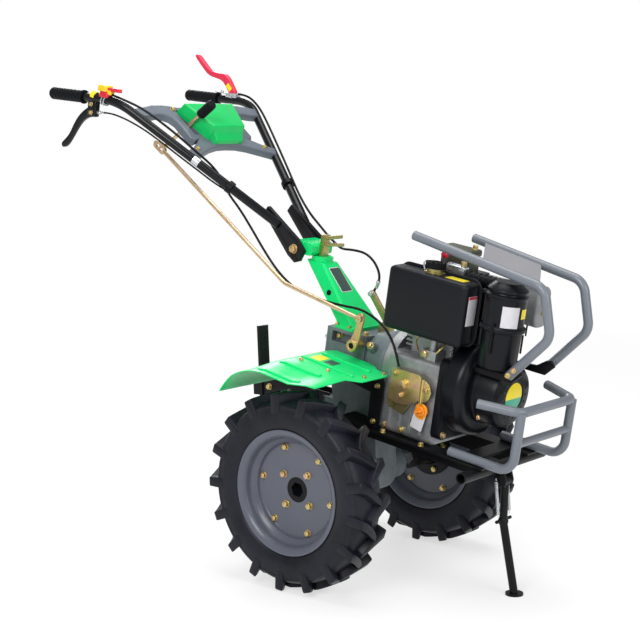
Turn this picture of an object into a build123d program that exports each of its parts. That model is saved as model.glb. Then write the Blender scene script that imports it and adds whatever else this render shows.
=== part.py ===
from build123d import *
import math
import os

# Power weeder: a two-wheel walk-behind machine with an open air-cooled diesel engine.
# Millimetres. The machine frame has its origin at the middle of the wheel axle, +X forward,
# +Y left and +Z up, with the machine level. The last step tips it nose-down onto its stand,
# sets it on the floor and puts the origin at the bottom centre of its box.

# Stance
PARK_PITCH = 9.0
RUN_CLEAR = 0.06
SEAT_CLEAR = 0.3

# Wheels
TYRE_R = 270.0
TYRE_W = 118.0
TYRE_WALL = 13.0
CARCASS_R = 248.0
BULGE_R = 208.0
LUGS = 17
LUG_PITCH = 360 / LUGS
LUG_W = (22.0, 13.0)
LUG_SWEEP = 57.0
LUG_PAST = 20.0
LUG_FOOT = 14.0
TRACK = 630.0
RIM_FLANGE_R = 169.5
RIM_SEAT_R = 152.0
RIM_WELL_R = 134.0
RIM_W = 100.0
RIM_LIP = 4.0
RIM_T = 4.0
DISC_T = 6.0
WELL_HALF = 14.0
WELL_SLOPE = 10.0
HUB_R = 34.0
HUB_LEN = 125.0
HUB_FLANGE_R = 74.0
HUB_FLANGE_T = 8.0
HEX_AF = 36.0
HEX_CLEAR = 0.2
AXLE_RECESS = 45.0
JOURNAL_R = 17.0

# Drive line
CASE_HALF_W = 48.0
CASE_LOW_R = 64.0
CASE_TOP = 391.0
CASE_HEAD_X = (-152.0, -16.0)
CASE_HULL_R = 78.0
CASE_HEAD_HALF_W = 72.0
CASE_HEAD_LOW = 262.0
POCKET_X = (-134.0, -66.0)
POCKET_Z = (353.0, 382.0)
POCKET_DEPTH = 22.0
AXLE_TUBE_R = 46.0
AXLE_TUBE_HALF = 120.0
CRANK_Z = 333.0
BELL_X = 70.0
BELL_R = (66.0, 88.0)
BELL_FLANGE_T = 12.0
CLUTCH_SHAFT = (-20.0, 416.0)
CLUTCH_SHAFT_R = 9.0
CLUTCH_SHAFT_Y = (4.0, 42.0)
CLUTCH_ARM_END = (-88.0, 488.0)
CLUTCH_ARM_W = 20.0
CLUTCH_ARM_Y = (26.0, 34.0)
REAR_BOSS_X = -150.0
HITCH_Z = 140.0

# Engine, from the clutch side to the fan side
FLANGE_DISC_R = 100.0
ENGINE_X = 98.0
FAN_X = 262.0
RECOIL_X = 350.0
RECOIL_FACE_X = 430.0
ENGINE_BASE = 167.0
BLOCK_TOP = 390.0
BLOCK_Y = (-112.0, 106.0)
BLOCK_RIB = 5.0
GOVERNOR_OUTLINE = ((122, 352), (206, 356), (214, 284), (196, 262), (138, 250))
GOVERNOR_T = 14.0
PLUG_XZ = (231.0, 258.0)
PLUG_R = 14.0
PUMP_X = (190.0, 236.0)
PUMP_H = 26.0
BARREL_X = (120.0, 258.0)
BARREL_Y = (-56.0, 74.0)
BARREL_TOP = 556.0
FIN_T = 5.0
FIN_PITCH = 12.0
FIN_OUT = 14.0
HEAD_TOP = 622.0
COVER_TOP = 682.0
COVER_X = (146.0, 236.0)
COVER_Y = (-6.0, 44.0)
KNOB_AT = (182.0, -44.0, 664.0)
BALL_R = 10.0
STEM_R = 5.0
FAN_R = 132.0
FAN_PLATE_X = 292.0
FAN_PLATE_Y = (-116.0, 112.0)
FAN_PLATE_Z = (190.0, 408.0)
RECOIL_R = 92.0
DUCT_TOP = 598.0
DUCT_X = 330.0
DUCT_SIDE = 88.0

# Tank, air cleaner and muffler
TANK_X = (88.0, 330.0)
TANK_Y = -150.0
TANK_Z = (460.0, 618.0)
TANK_ROUND = 16.0
CAP_R = 28.0
CAP_H = 26.0
CAP_XY = (196.0, -100.0)
AIR_XY = (408.0, -76.0)
AIR_R = 52.0
AIR_BAND_R = 60.0
AIR_Z = (434.0, 526.0, 616.0, 646.0)
HOSE_R = 18.0
HOSE_Y = -30.0
HOSE_Z = 618.0
MUFFLER_X = (296.0, 404.0)
MUFFLER_Y = (92.0, 160.0)
MUFFLER_Z = (500.0, 612.0)
MUFFLER_ROUND = 26.0
PIPE_R = 17.0
PIPE_X = 196.0

# Frame, bumper, guard and stand
RAIL_Y = (85.0, 140.0)
RAIL_T = 6.0
RAIL_WEB = 42.0
RAIL_X = (-40.0, 450.0)
TUBE_R = 12.5
BUMPER_Y = 127.0
BUMPER_X = 531.0
BUMPER_TOP = 338.0
BUMPER_REAR = 338.0
BUMPER_BEND = 42.0
BUMPER_BAR_Z = 256.0
ARM_REACH = 105.0
ARM_FLARE = 45.0
GUARD_Y = 98.0
GUARD_REAR_X = (114.0, 175.0)
GUARD_REAR_Z = 706.0
GUARD_A = (523.0, 658.0)
GUARD_B = (561.0, 537.0)
GUARD_END = (461.0, 413.0)
GUARD_BEND = 45.0
GUARD_SHEET_X = (220.0, 400.0)
GUARD_SHEET_FALL = (40.0, -64.0, -30.0)
GUARD_SHEET_T = 3.0
GUARD_BRACKET_T = 8.0
CROSS_R = 15.0
CROSS_HALF = 200.0
CROSS_X = 428.0
STAND_PIVOT = (443.0, 106.0)
STAND_KNEE = (456.0, -4.0)
STAND_FOOT_X = 524.0
STAND_R = 11.0
STAND_EYE_R = 13.0
STAND_HALF = 13.5
STAND_PIN_R = 6.0
FOOT_R = 24.0
SPRING_Y = 27.0
SPRING_R = 5.0
SPRING_TOP = (430.0, 118.0)

# Fenders
FENDER_Y = (76.0, 390.0)
FENDER_GAP = 46.0
FENDER_Z = TYRE_R + FENDER_GAP
FENDER_FRONT = 106.0
FENDER_STEP_X = 74.0
FENDER_STEP_Y = 245.0
FENDER_NOTCH_X = 16.0
FENDER_NOTCH_Y = 118.0
FENDER_RIDGE_X = -108.0
FENDER_MID = (-172.0, 286.0)
FENDER_TIP = (28.0 - TYRE_R, TYRE_R - 73.0)
FENDER_RISE = 3.2
STAY_X = (-104.0, -16.0)
STAY_OUT = 250.0
STAY_T = 5.0
FENDER_T = 3.0
RIB_COUNT = 5
RIB_H = 4.0
RIB_W = 9.0
RIB_SHORT = 34.0

# Column and handlebar
COLUMN_BASE_X = (-134.0, -64.0)
COLUMN_BASE_HALF_W = 70.0
COLUMN_TOP_X = (-290.0, -224.0)
COLUMN_TOP_HALF_W = 34.0
COLUMN_TOP = 548.0
NECK_R = 31.0
NECK_H = 14.0
CLAMP_X = (-262.0, -248.0)
CLAMP_HALF_W = 13.0
CLAMP_TOP = 624.0
CLAMP_RODS = ((614.0, -198.0, 630.0), (596.0, -189.0, 608.0))
CLAMP_ROD_R = 5.0
FLANGE_T = 9.0
TILT_XZ = (-318.0, 574.0)
TILT_PIN_R = 7.0
HEAD_HALF_W = 45.0
EAR_T = 14.0
EAR_OUTLINE = ((-36, -16), (-26, -30), (6, -30), (150, 2), (150, 26), (10, 28), (-30, 18))
HANDLE_ANGLE = 31.2
HANDLE_R = 13.0
HANDLE_N = 14.0
HANDLE_START = (85.0, 60.0)
HANDLE_BEND = (629.0, 287.0)
HANDLE_END = (851.0, -141.0)
HANDLE_BEND_R = 150.0
GRIP_R = 17.0
GRIP_LEN = 140.0

# Console on the handlebar: s runs up the tubes from the tilt pin, n stands off them
CONSOLE_S = (385.0, 585.0)
CONSOLE_T = 26.0
WAIST_S = (455.0, 505.0)
WAIST_Y = 128.0
COVER_S = (430.0, 590.0)
COVER_HALF_W = (62.0, 100.0)
COVER_H = (22.0, 32.0)
LEVER_EYE = (-831.0, 777.0)
LEVER_Y = -97.0
LEVER_TOP = (-692.0, 900.0)
LEVER_R = 6.0
LEVER_SLOT_S = 511.0
LEVER_SLOT_Y = (88.0, 106.0)
LEVER_SLOT_HALF = 30.0
KNOB_R = 15.0
KNOB_LEN = 62.0

# Hand levers, as X and Z from the corner of the handle tube
LEVER_HALF_W = 7.0
RIGHT_BRACKET = ((-117, -73), (-50, -12))
RIGHT_BLADE = ((-81, -32), (-109, -30), (-157, -74), (-215, -154), (-201, -164), (-135, -90))
THROTTLE_HALF_W = 14.0
THROTTLE_BASE = ((-67, -27), (-4, 22))
THROTTLE_CAP = ((-63, 22), (-31, 22), (-35, 38), (-59, 38))
CLUTCH_BRACKET = ((-99, -56), (-4, 28))
CLUTCH_BLADE = (
    (-67, 18), (-81, 28), (-123, 70), (-179, 70), (-247, 118), (-253, 106), (-181, 54), (-131, 54), (-95, 14),
)

# Shift linkage, hitch and drag bar
SHIFT_SHAFT = (-30.0, 368.0)
SHIFT_EYE = (-13.0, 450.0)
SHIFT_Y = -112.0
SHIFT_ARM_T = 8.0
SHIFT_SHAFT_R = 11.0
SHIFT_BOSS_R = 18.0
SHIFT_EYE_R = 12.0
ROD_R = 6.0
ROD_Y = (-122.0, -114.0)
ROD_BEND = (-285.0, 486.0)
ROD_PIN_R = 4.0
DRAG_LEAN = 11.7
DRAG_SIZE = (10.0, 40.0)
DRAG_AT = (-415.0, 140.0)
DRAG_UP = 172.0
DRAG_DOWN = 190.0
DRAG_HOLE_R = 5.2
DRAG_PITCH = 34.0

# Cables, as hand-chosen routes
CABLE_R = 3.5
CLUTCH_ROUTE = (
    (-904.5, 289, 930), (-872, 289, 931), (-836, 288, 920), (-777, 264, 896), (-709, 233, 854),
    (-641, 199, 812), (-574, 166, 770), (-506, 131, 727), (-446, 100, 691), (-385, 76, 657),
    (-331, 66, 629), (-290, 58, 608), (-252, 49, 594), (-218, 33, 588), (-177, 30, 595),
    (-130, 30, 596), (-95, 30, 578), (-72, 30, 548), (-72, 30, 520), (-83.9, 30, 497.6),
)
THROTTLE_ROUTE = (
    (-875.4, -289, 926), (-840, -288, 922), (-774, -258, 902), (-722, -233, 872), (-672, -206, 839),
    (-624, -178, 802), (-587, -143, 767), (-562, -122, 731), (-538, -116, 693), (-492, -110, 656),
    (-440, -106, 606), (-390, -105, 558), (-335, -104, 512), (-275, -102, 478), (-205, -100, 464),
    (-140, -100, 464), (-86, -100, 466), (-31, -100, 471), (10, -101, 464), (47, -105, 452),
    (76, -110, 438), (104, -114, 412), (124, -119, 384), (140, -124, 356.3),
)

parts = {}


def box(x, y, z):
    """Box between two limits on each axis."""
    size = [abs(b - a) for a, b in (x, y, z)]
    mid = [(a + b) / 2 for a, b in (x, y, z)]
    return Pos(*mid) * Box(*size)


def rod_x(r, x, y, z):
    return Pos((x[0] + x[1]) / 2, y, z) * Rot(0, 90, 0) * Cylinder(r, abs(x[1] - x[0]))


def rod_y(r, x, y, z):
    return Pos(x, (y[0] + y[1]) / 2, z) * Rot(90, 0, 0) * Cylinder(r, abs(y[1] - y[0]))


def rod_z(r, x, y, z):
    return Pos(x, y, (z[0] + z[1]) / 2) * Cylinder(r, abs(z[1] - z[0]))


def rod(a, b, r):
    """Round rod between two points."""
    start, end = Vector(*a), Vector(*b)
    run = end - start
    return extrude(Plane(start, z_dir=run) * Circle(r), run.length)


def tube(points, bends, r):
    """Round bar along straight runs joined by arcs."""
    path = FilletPolyline(*points, radius=bends)
    return sweep(Plane(path @ 0, z_dir=path % 0) * Circle(r), path=path)


def plate_xz(points, y):
    """Flat plate with an outline in X and Z, between two Y limits."""
    face = make_face(Polyline(*[(px, y[0], pz) for px, pz in points], close=True))
    return extrude(face, y[1] - y[0], dir=(0, 1, 0))


def left(shape):
    """The same piece on the other side of the machine."""
    return mirror(shape, about=Plane.XZ)


def ring(points):
    """Ring about the wheel's axis from (radius, offset) corners."""
    return revolve(make_face(Polyline(*points, close=True)), Axis.Y, 360)


def cord(points, r):
    """Cable along its route, with each arc as large as its runs allow."""
    corners = [Vector(*p) for p in points]
    bends = []
    for before, here, after in zip(corners, corners[1:], corners[2:]):
        run_in, run_out = here - before, after - here
        half_turn = math.radians(run_in.get_angle(run_out) / 2)
        bends.append(0.45 * min(run_in.length, run_out.length) / math.tan(half_turn))
    print("cable radii", [round(b) for b in bends])
    return tube(points, bends, r)


def tyre_segment(section):
    """Flat-sided stretch of the tyre, half a lug pitch long, at the top of the wheel."""
    face = make_face(Polyline(*[(0, o, r) for r, o in section], close=True))
    bar = extrude(face, TYRE_W, dir=(1, 0, 0), both=True)
    reach = TYRE_R * math.tan(math.radians(LUG_PITCH / 4))
    wedge = Plane.XZ * make_face(Polyline((0, 0), (reach, TYRE_R), (-reach, TYRE_R), close=True))
    return bar & extrude(wedge, TYRE_W, both=True)


def make_tyre(section):
    """Tyre with two rows of lugs half a pitch apart, each swept forward from its shoulder past the middle."""
    tread = TYRE_W / 2
    wide, slim = LUG_W[0] / 2, LUG_W[1] / 2
    back, nose = -LUG_SWEEP / 2, LUG_SWEEP / 2
    top_r = math.sqrt(TYRE_R ** 2 - (back - wide) ** 2)
    outline = make_face(Polyline((back - wide, tread), (nose - slim, -LUG_PAST), (nose + slim, -LUG_PAST),
                                 (back + wide, tread), close=True))
    foot_r = CARCASS_R - LUG_FOOT
    lug = extrude(Plane.XY.offset(foot_r) * outline, top_r - foot_r)
    corner = math.degrees(math.atan2(wide - back, top_r))
    first = 180 - PARK_PITCH - LUG_PITCH / 4 + corner
    segment = tyre_segment(section)
    pieces = [Rot(0, first + LUG_PITCH / 2 * index, 0) * segment for index in range(2 * LUGS)]
    for index in range(LUGS):
        pieces.append(Rot(0, first + LUG_PITCH * index, 0) * lug)
        pieces.append(Rot(0, first + LUG_PITCH * (index + 0.5), 0) * left(lug))
    return pieces[0].fuse(*pieces[1:])


def wheel():
    """Tyre, rim and hub with its axle half about the origin, outward along +Y."""
    half = RIM_W / 2
    bead = half - RIM_LIP - 4
    well_top = WELL_HALF + WELL_SLOPE
    tread = TYRE_W / 2
    lip_r, lip_o = RIM_FLANGE_R + SEAT_CLEAR, half - RIM_LIP - SEAT_CLEAR
    seat_r = RIM_SEAT_R + SEAT_CLEAR
    skin = [(seat_r, bead - TYRE_WALL), (seat_r, bead - SEAT_CLEAR), (lip_r, lip_o), (RIM_FLANGE_R + 5, half),
            (BULGE_R, tread - 1), (CARCASS_R, tread - TYRE_WALL)]
    bore_r, bore_half = CARCASS_R - TYRE_WALL, tread - 3 * TYRE_WALL
    section = skin + [(r, -o) for r, o in reversed(skin)] + [(bore_r, -bore_half), (bore_r, bore_half)]
    tyre = make_tyre(section)
    rim = ring([
        (RIM_FLANGE_R, half), (RIM_FLANGE_R, half - RIM_LIP), (RIM_SEAT_R, bead),
        (RIM_SEAT_R, well_top), (RIM_WELL_R, WELL_HALF), (RIM_WELL_R, -WELL_HALF),
        (RIM_SEAT_R, -well_top), (RIM_SEAT_R, -bead), (RIM_FLANGE_R, RIM_LIP - half),
        (RIM_FLANGE_R, -half), (RIM_SEAT_R - RIM_T, RIM_T - half),
        (RIM_SEAT_R - RIM_T, -well_top - RIM_T / 2), (RIM_WELL_R - RIM_T, -WELL_HALF - RIM_T / 2),
        (RIM_WELL_R - RIM_T, WELL_HALF + RIM_T / 2), (RIM_SEAT_R - RIM_T, well_top + RIM_T / 2),
        (RIM_SEAT_R - RIM_T, half - RIM_T),
    ])
    hole = HUB_R + SEAT_CLEAR
    rim += ring([(hole, 0), (RIM_WELL_R - 1, 0), (RIM_WELL_R - 1, -DISC_T), (hole, -DISC_T)])
    back = -DISC_T - HUB_FLANGE_T
    hub = ring([(1, 0), (HUB_R, 0), (HUB_R, -DISC_T), (HUB_FLANGE_R, -DISC_T),
                (HUB_FLANGE_R, back), (HUB_R + 8, back - 6), (HUB_R, back - 30),
                (HUB_R, -HUB_LEN), (1, -HUB_LEN)])
    hex_hole = Plane.XZ * RegularPolygon(HEX_AF / 2, 6, major_radius=False)
    hub -= extrude(hex_hole, HUB_LEN * 2, both=True)
    inner_end = AXLE_TUBE_HALF + 1 - TRACK / 2
    stub = Plane.XZ * RegularPolygon(HEX_AF / 2 - HEX_CLEAR, 6, major_radius=False)
    shaft = Pos(0, -AXLE_RECESS, 0) * extrude(stub, -AXLE_RECESS - inner_end, dir=(0, -1, 0))
    shaft += rod_y(JOURNAL_R, 0, (inner_end, inner_end - AXLE_TUBE_HALF + 40), 0)
    return tyre, rim, hub, shaft


def make_wheels():
    for side in ("left", "right"):
        for name, piece in zip(("tyre", "rim", "hub", "axle"), wheel()):
            placed = Pos(0, TRACK / 2, 0) * piece
            parts[f"{side}_{name}"] = placed if side == "left" else left(placed)


def make_drive():
    low = Circle(CASE_LOW_R)
    top_at = (-CASE_HULL_R, CASE_TOP - CASE_HULL_R)
    high = Pos(*top_at) * Circle(CASE_HULL_R)
    case = extrude(Plane.XZ * make_hull(low.edges() + high.edges()), CASE_HALF_W, both=True)
    case += box(CASE_HEAD_X, (-CASE_HEAD_HALF_W, CASE_HEAD_HALF_W), (CASE_HEAD_LOW, CASE_TOP))
    case += rod_y(AXLE_TUBE_R, 0, (-AXLE_TUBE_HALF, AXLE_TUBE_HALF), 0)
    case += box((REAR_BOSS_X, top_at[0]), (-CASE_HALF_W, CASE_HALF_W), (HITCH_Z - 40, HITCH_Z + 40))
    case -= rod_y(JOURNAL_R + RUN_CLEAR, 0, (-AXLE_TUBE_HALF, -30), 0)
    case -= rod_y(JOURNAL_R + RUN_CLEAR, 0, (30, AXLE_TUBE_HALF), 0)
    pocket = box(POCKET_X, (CASE_HEAD_HALF_W - POCKET_DEPTH, CASE_HEAD_HALF_W), POCKET_Z)
    parts["gear_case"] = case - pocket - left(pocket)

    bell = revolve(
        Plane.XZ * make_face(Polyline(
            (CASE_HEAD_X[1], CRANK_Z), (CASE_HEAD_X[1], CRANK_Z + BELL_R[0]),
            (BELL_X - BELL_FLANGE_T, CRANK_Z + BELL_R[1]), (BELL_X - BELL_FLANGE_T, CRANK_Z + FLANGE_DISC_R),
            (BELL_X, CRANK_Z + FLANGE_DISC_R), (BELL_X, CRANK_Z), close=True)),
        Axis((0, 0, CRANK_Z), (1, 0, 0)), 360)
    bell -= parts["gear_case"]
    parts["clutch_housing"] = bell

    low_x, low_z = CLUTCH_SHAFT
    top_x, top_z = CLUTCH_ARM_END
    lean = math.degrees(math.atan2(top_z - low_z, top_x - low_x))
    reach = math.hypot(top_x - low_x, top_z - low_z)
    blade = extrude(SlotCenterToCenter(reach, CLUTCH_ARM_W), CLUTCH_ARM_Y[1] - CLUTCH_ARM_Y[0])
    middle = Pos((low_x + top_x) / 2, CLUTCH_ARM_Y[1], (low_z + top_z) / 2)
    arm = middle * Rot(0, -lean, 0) * Rot(90, 0, 0) * blade
    arm += rod_y(CLUTCH_SHAFT_R, low_x, CLUTCH_SHAFT_Y, low_z)
    arm += box((low_x - 14, low_x + 14), CLUTCH_SHAFT_Y, (CASE_TOP - 20, low_z))
    parts["clutch_arm"] = arm - bell - parts["gear_case"]

    shaft_x, shaft_z = SHIFT_SHAFT
    eye_x, eye_z = SHIFT_EYE
    web = (SHIFT_Y - SHIFT_ARM_T / 2, SHIFT_Y + SHIFT_ARM_T / 2)
    shift = rod_y(SHIFT_SHAFT_R, shaft_x, (SHIFT_Y, -CASE_HEAD_HALF_W), shaft_z)
    shift += rod_y(SHIFT_BOSS_R, shaft_x, web, shaft_z) + rod_y(SHIFT_EYE_R, eye_x, web, eye_z)
    shift += plate_xz([(shaft_x - 12, shaft_z), (shaft_x + 12, shaft_z), (eye_x + 9, eye_z),
                       (eye_x - 9, eye_z)], web)
    shift += rod_y(ROD_PIN_R, eye_x, (ROD_Y[0] - 8, SHIFT_Y), eye_z)
    parts["shift_arm"] = shift


def make_engine():
    base = box((ENGINE_X, FAN_X), BLOCK_Y, (ENGINE_BASE, BLOCK_TOP))
    base = fillet(base.edges().filter_by(Axis.X), 14)
    base += rod_x(FLANGE_DISC_R, (BELL_X, ENGINE_X), 0, CRANK_Z)
    for rib_x in range(int(ENGINE_X) + 22, int(FAN_X) - 10, 34):
        base += box((rib_x, rib_x + 6), (BLOCK_Y[0] - BLOCK_RIB, BLOCK_Y[1] + BLOCK_RIB),
                    (ENGINE_BASE + 18, BLOCK_TOP - 60))
    parts["crankcase"] = base

    barrel = box(BARREL_X, BARREL_Y, (BLOCK_TOP, BARREL_TOP))
    barrel = fillet(barrel.edges().filter_by(Axis.Z), 10)
    fin_z = BLOCK_TOP + FIN_PITCH
    while fin_z < BARREL_TOP - FIN_T:
        barrel += box((BARREL_X[0] - FIN_OUT, BARREL_X[1]), (BARREL_Y[0], BARREL_Y[1] + FIN_OUT),
                      (fin_z, fin_z + FIN_T))
        fin_z += FIN_PITCH
    parts["cylinder"] = barrel

    head = box((BARREL_X[0] - 8, BARREL_X[1]), BARREL_Y, (BARREL_TOP, HEAD_TOP))
    head = fillet(head.edges().filter_by(Axis.Z), 8)
    cover = box(COVER_X, COVER_Y, (HEAD_TOP, COVER_TOP))
    head += fillet(cover.edges().group_by(Axis.Z)[-1], 8)
    knob_x, knob_y, knob_z = KNOB_AT
    stem_top = knob_z - BALL_R + 1
    head += rod_z(STEM_R, knob_x, knob_y, (HEAD_TOP, stem_top))
    parts["cylinder_head"] = head
    ball = Pos(*KNOB_AT) * Sphere(BALL_R)
    parts["decompression_knob"] = ball & Pos(knob_x, knob_y, stem_top + BALL_R) * Box(60, 60, 2 * BALL_R)

    fan = rod_x(FAN_R, (FAN_X, RECOIL_X), 0, CRANK_Z)
    fan = fillet(fan.edges().group_by(Axis.X)[-1], 26)
    fan &= box((FAN_PLATE_X - 4, RECOIL_X), (-FAN_R, FAN_R), (CRANK_Z - FAN_R, CRANK_Z + FAN_R))
    back = box((FAN_X, FAN_PLATE_X), FAN_PLATE_Y, FAN_PLATE_Z)
    fan += fillet(back.edges().filter_by(Axis.X), 18)
    fan += box((FAN_X, DUCT_X), (BARREL_Y[0], DUCT_SIDE), (CRANK_Z, DUCT_TOP))
    parts["fan_shroud"] = fan
    recoil = rod_x(RECOIL_R, (RECOIL_X, RECOIL_FACE_X), 0, CRANK_Z)
    recoil = fillet(recoil.edges().group_by(Axis.X)[-1], 16)
    parts["recoil_cover"] = recoil

    tank = box(TANK_X, (TANK_Y, BARREL_Y[0]), TANK_Z)
    tank = fillet(tank.edges(), TANK_ROUND)
    parts["fuel_tank"] = tank
    cap = rod_z(CAP_R, *CAP_XY, (TANK_Z[1], TANK_Z[1] + CAP_H))
    parts["fuel_cap"] = fillet(cap.edges().group_by(Axis.Z)[-1], 5)

    low_z, band_z, cap_z, top_z = AIR_Z
    air = rod_z(AIR_R, *AIR_XY, (low_z, cap_z))
    air += rod_z(AIR_BAND_R, *AIR_XY, (band_z - 5, band_z + 5))
    air += Pos(*AIR_XY, (cap_z + top_z) / 2) * Cone(AIR_R, AIR_R - 18, top_z - cap_z)
    air += rod_x(HOSE_R, (BARREL_X[1], AIR_XY[0]), HOSE_Y, HOSE_Z)
    parts["air_cleaner"] = air

    muffler = fillet(box(MUFFLER_X, MUFFLER_Y, MUFFLER_Z).edges().filter_by(Axis.X), MUFFLER_ROUND)
    pipe_z, pipe_y = (BARREL_TOP + HEAD_TOP) / 2, (MUFFLER_Y[0] + MUFFLER_Y[1]) / 2
    muffler += tube([(PIPE_X, BARREL_Y[1], pipe_z), (PIPE_X, pipe_y, pipe_z), (MUFFLER_X[0], pipe_y, pipe_z)],
                    2 * PIPE_R, PIPE_R)
    parts["muffler"] = muffler

    plate_y = BLOCK_Y[0] - BLOCK_RIB
    parts["governor_plate"] = plate_xz(GOVERNOR_OUTLINE, (plate_y - GOVERNOR_T, plate_y))
    plug_x, plug_z = PLUG_XZ
    parts["dipstick"] = rod_y(PLUG_R, plug_x, (plate_y - PLUG_R, BLOCK_Y[0]), plug_z) - base
    pump = box(PUMP_X, (BLOCK_Y[0] + 10, BARREL_Y[0] - 4), (BLOCK_TOP, BLOCK_TOP + PUMP_H))
    pump += rod_z(PUMP_H * 0.42, sum(PUMP_X) / 2, BLOCK_Y[0] + 30, (BLOCK_TOP, BLOCK_TOP + PUMP_H * 2.2))
    parts["injection_pump"] = pump


def make_frame():
    top, flange_low = ENGINE_BASE, ENGINE_BASE - RAIL_T
    rail = box(RAIL_X, RAIL_Y, (flange_low, top))
    rail += box((RAIL_X[0], CROSS_X - CROSS_R - 8), (RAIL_Y[0], RAIL_Y[0] + RAIL_T), (top - RAIL_WEB, top))
    rail += box((RAIL_X[0], 40), (CASE_HALF_W, RAIL_Y[0]), (top - RAIL_WEB, top))
    strap = box((345, 395), (-RAIL_Y[0], RAIL_Y[0]), (flange_low, top))
    parts["engine_frame"] = rail + left(rail) + strap

    cross_z = flange_low - CROSS_R
    cross = rod_y(CROSS_R, CROSS_X, (-CROSS_HALF, CROSS_HALF), cross_z)
    pivot_x, pivot_z = STAND_PIVOT
    lug_in, lug_out = STAND_HALF + 0.5, STAND_HALF + 6.5
    lug = plate_xz([(CROSS_X - 14, cross_z), (CROSS_X + 14, cross_z), (pivot_x + 14, pivot_z + 4),
                    (pivot_x + 12, pivot_z - 13), (pivot_x - 14, pivot_z - 13)], (lug_in, lug_out))
    lug += rod_y(4, SPRING_TOP[0], (lug_out, SPRING_Y + SPRING_R + 3), SPRING_TOP[1])
    cross += lug + left(lug)
    cross += rod_y(STAND_PIN_R, pivot_x, (-lug_out, lug_out), pivot_z)
    parts["cross_tube"] = cross - rod_y(CROSS_R - 3, CROSS_X, (-CROSS_HALF, CROSS_HALF), cross_z)

    low_z = top + TUBE_R
    side = tube([(BUMPER_REAR, BUMPER_Y, low_z), (BUMPER_X, BUMPER_Y, low_z), (BUMPER_X, BUMPER_Y, BUMPER_TOP)],
                BUMPER_BEND, TUBE_R)
    bow = tube([(BUMPER_X - ARM_REACH, -BUMPER_Y - ARM_FLARE, BUMPER_TOP + 4),
                (BUMPER_X, -BUMPER_Y, BUMPER_TOP), (BUMPER_X, BUMPER_Y, BUMPER_TOP),
                (BUMPER_X - ARM_REACH, BUMPER_Y + ARM_FLARE, BUMPER_TOP + 4)], 30, TUBE_R)
    bar = rod_y(TUBE_R - 2, BUMPER_X, (-BUMPER_Y, BUMPER_Y), BUMPER_BAR_Z)
    parts["bumper"] = side + left(side) + bow + bar

    slope = (GUARD_A[1] - GUARD_REAR_Z) / (GUARD_A[0] - GUARD_REAR_X[0])
    for side_name, rear_x, y in (("right", GUARD_REAR_X[0], -GUARD_Y), ("left", GUARD_REAR_X[1], GUARD_Y)):
        rear_z = GUARD_REAR_Z + slope * (rear_x - GUARD_REAR_X[0])
        parts[f"{side_name}_guard_bar"] = tube(
            [(rear_x, y, rear_z), (GUARD_A[0], y, GUARD_A[1]), (GUARD_B[0], y, GUARD_B[1]),
             (GUARD_END[0], y, GUARD_END[1])], GUARD_BEND, TUBE_R)
    start_x, end_x = GUARD_SHEET_X
    edge_z = GUARD_REAR_Z + slope * (start_x - GUARD_REAR_X[0])
    along = Vector(end_x - start_x, 0, slope * (end_x - start_x))
    across = Vector(*GUARD_SHEET_FALL)
    corner = Vector(start_x, GUARD_Y - TUBE_R, edge_z)
    sheet = make_face(Polyline(corner, corner + along, corner + along + across, corner + across, close=True))
    parts["guard_plate"] = extrude(sheet, GUARD_SHEET_T)

    plate_out = GUARD_Y - TUBE_R
    end_x, end_z = GUARD_END
    bracket = plate_xz([(RECOIL_X, end_z - 21), (RECOIL_X, end_z - 1), (end_x - 21, end_z + 17),
                        (end_x + 17, end_z + 21), (end_x + 29, end_z + 5), (end_x + 1, end_z - 21)],
                       (plate_out - GUARD_BRACKET_T, plate_out))
    parts["guard_brackets"] = Compound([bracket, left(bracket)])


def make_stand():
    pivot = (STAND_PIVOT[0], 0, STAND_PIVOT[1])
    knee = (STAND_KNEE[0], 0, STAND_KNEE[1])
    floor_z = (Rot(0, PARK_PITCH, 0) * parts["left_tyre"]).bounding_box().min.Z
    tip_z = (STAND_FOOT_X * math.sin(math.radians(PARK_PITCH)) + floor_z) / math.cos(math.radians(PARK_PITCH))
    tip = (STAND_FOOT_X, 0, tip_z)
    foot_at = Pos(*tip) * Rot(0, -PARK_PITCH, 0)
    leg = rod_y(STAND_EYE_R, pivot[0], (-STAND_HALF, STAND_HALF), pivot[2])
    leg += rod(pivot, knee, STAND_R) + rod(knee, tip, STAND_R) + Pos(*knee) * Sphere(STAND_R + 3)
    leg += rod_y(4.5, knee[0], (-SPRING_Y - SPRING_R - 3, SPRING_Y + SPRING_R + 3), knee[2] + 4)
    leg -= foot_at * Pos(0, 0, -30) * Box(200, 200, 60)
    leg -= rod_y(STAND_PIN_R + RUN_CLEAR, pivot[0], (-40, 40), pivot[2])
    parts["stand_leg"] = leg + foot_at * Pos(0, 0, 3) * Cylinder(FOOT_R, 6)

    top = (SPRING_TOP[0], SPRING_Y, SPRING_TOP[1] - 4 - SEAT_CLEAR)
    foot = (knee[0], SPRING_Y, knee[2] + 4 + 4.5 + SEAT_CLEAR)
    spring = rod(top, foot, SPRING_R)
    parts["stand_springs"] = Compound([spring, left(spring)])


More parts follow.
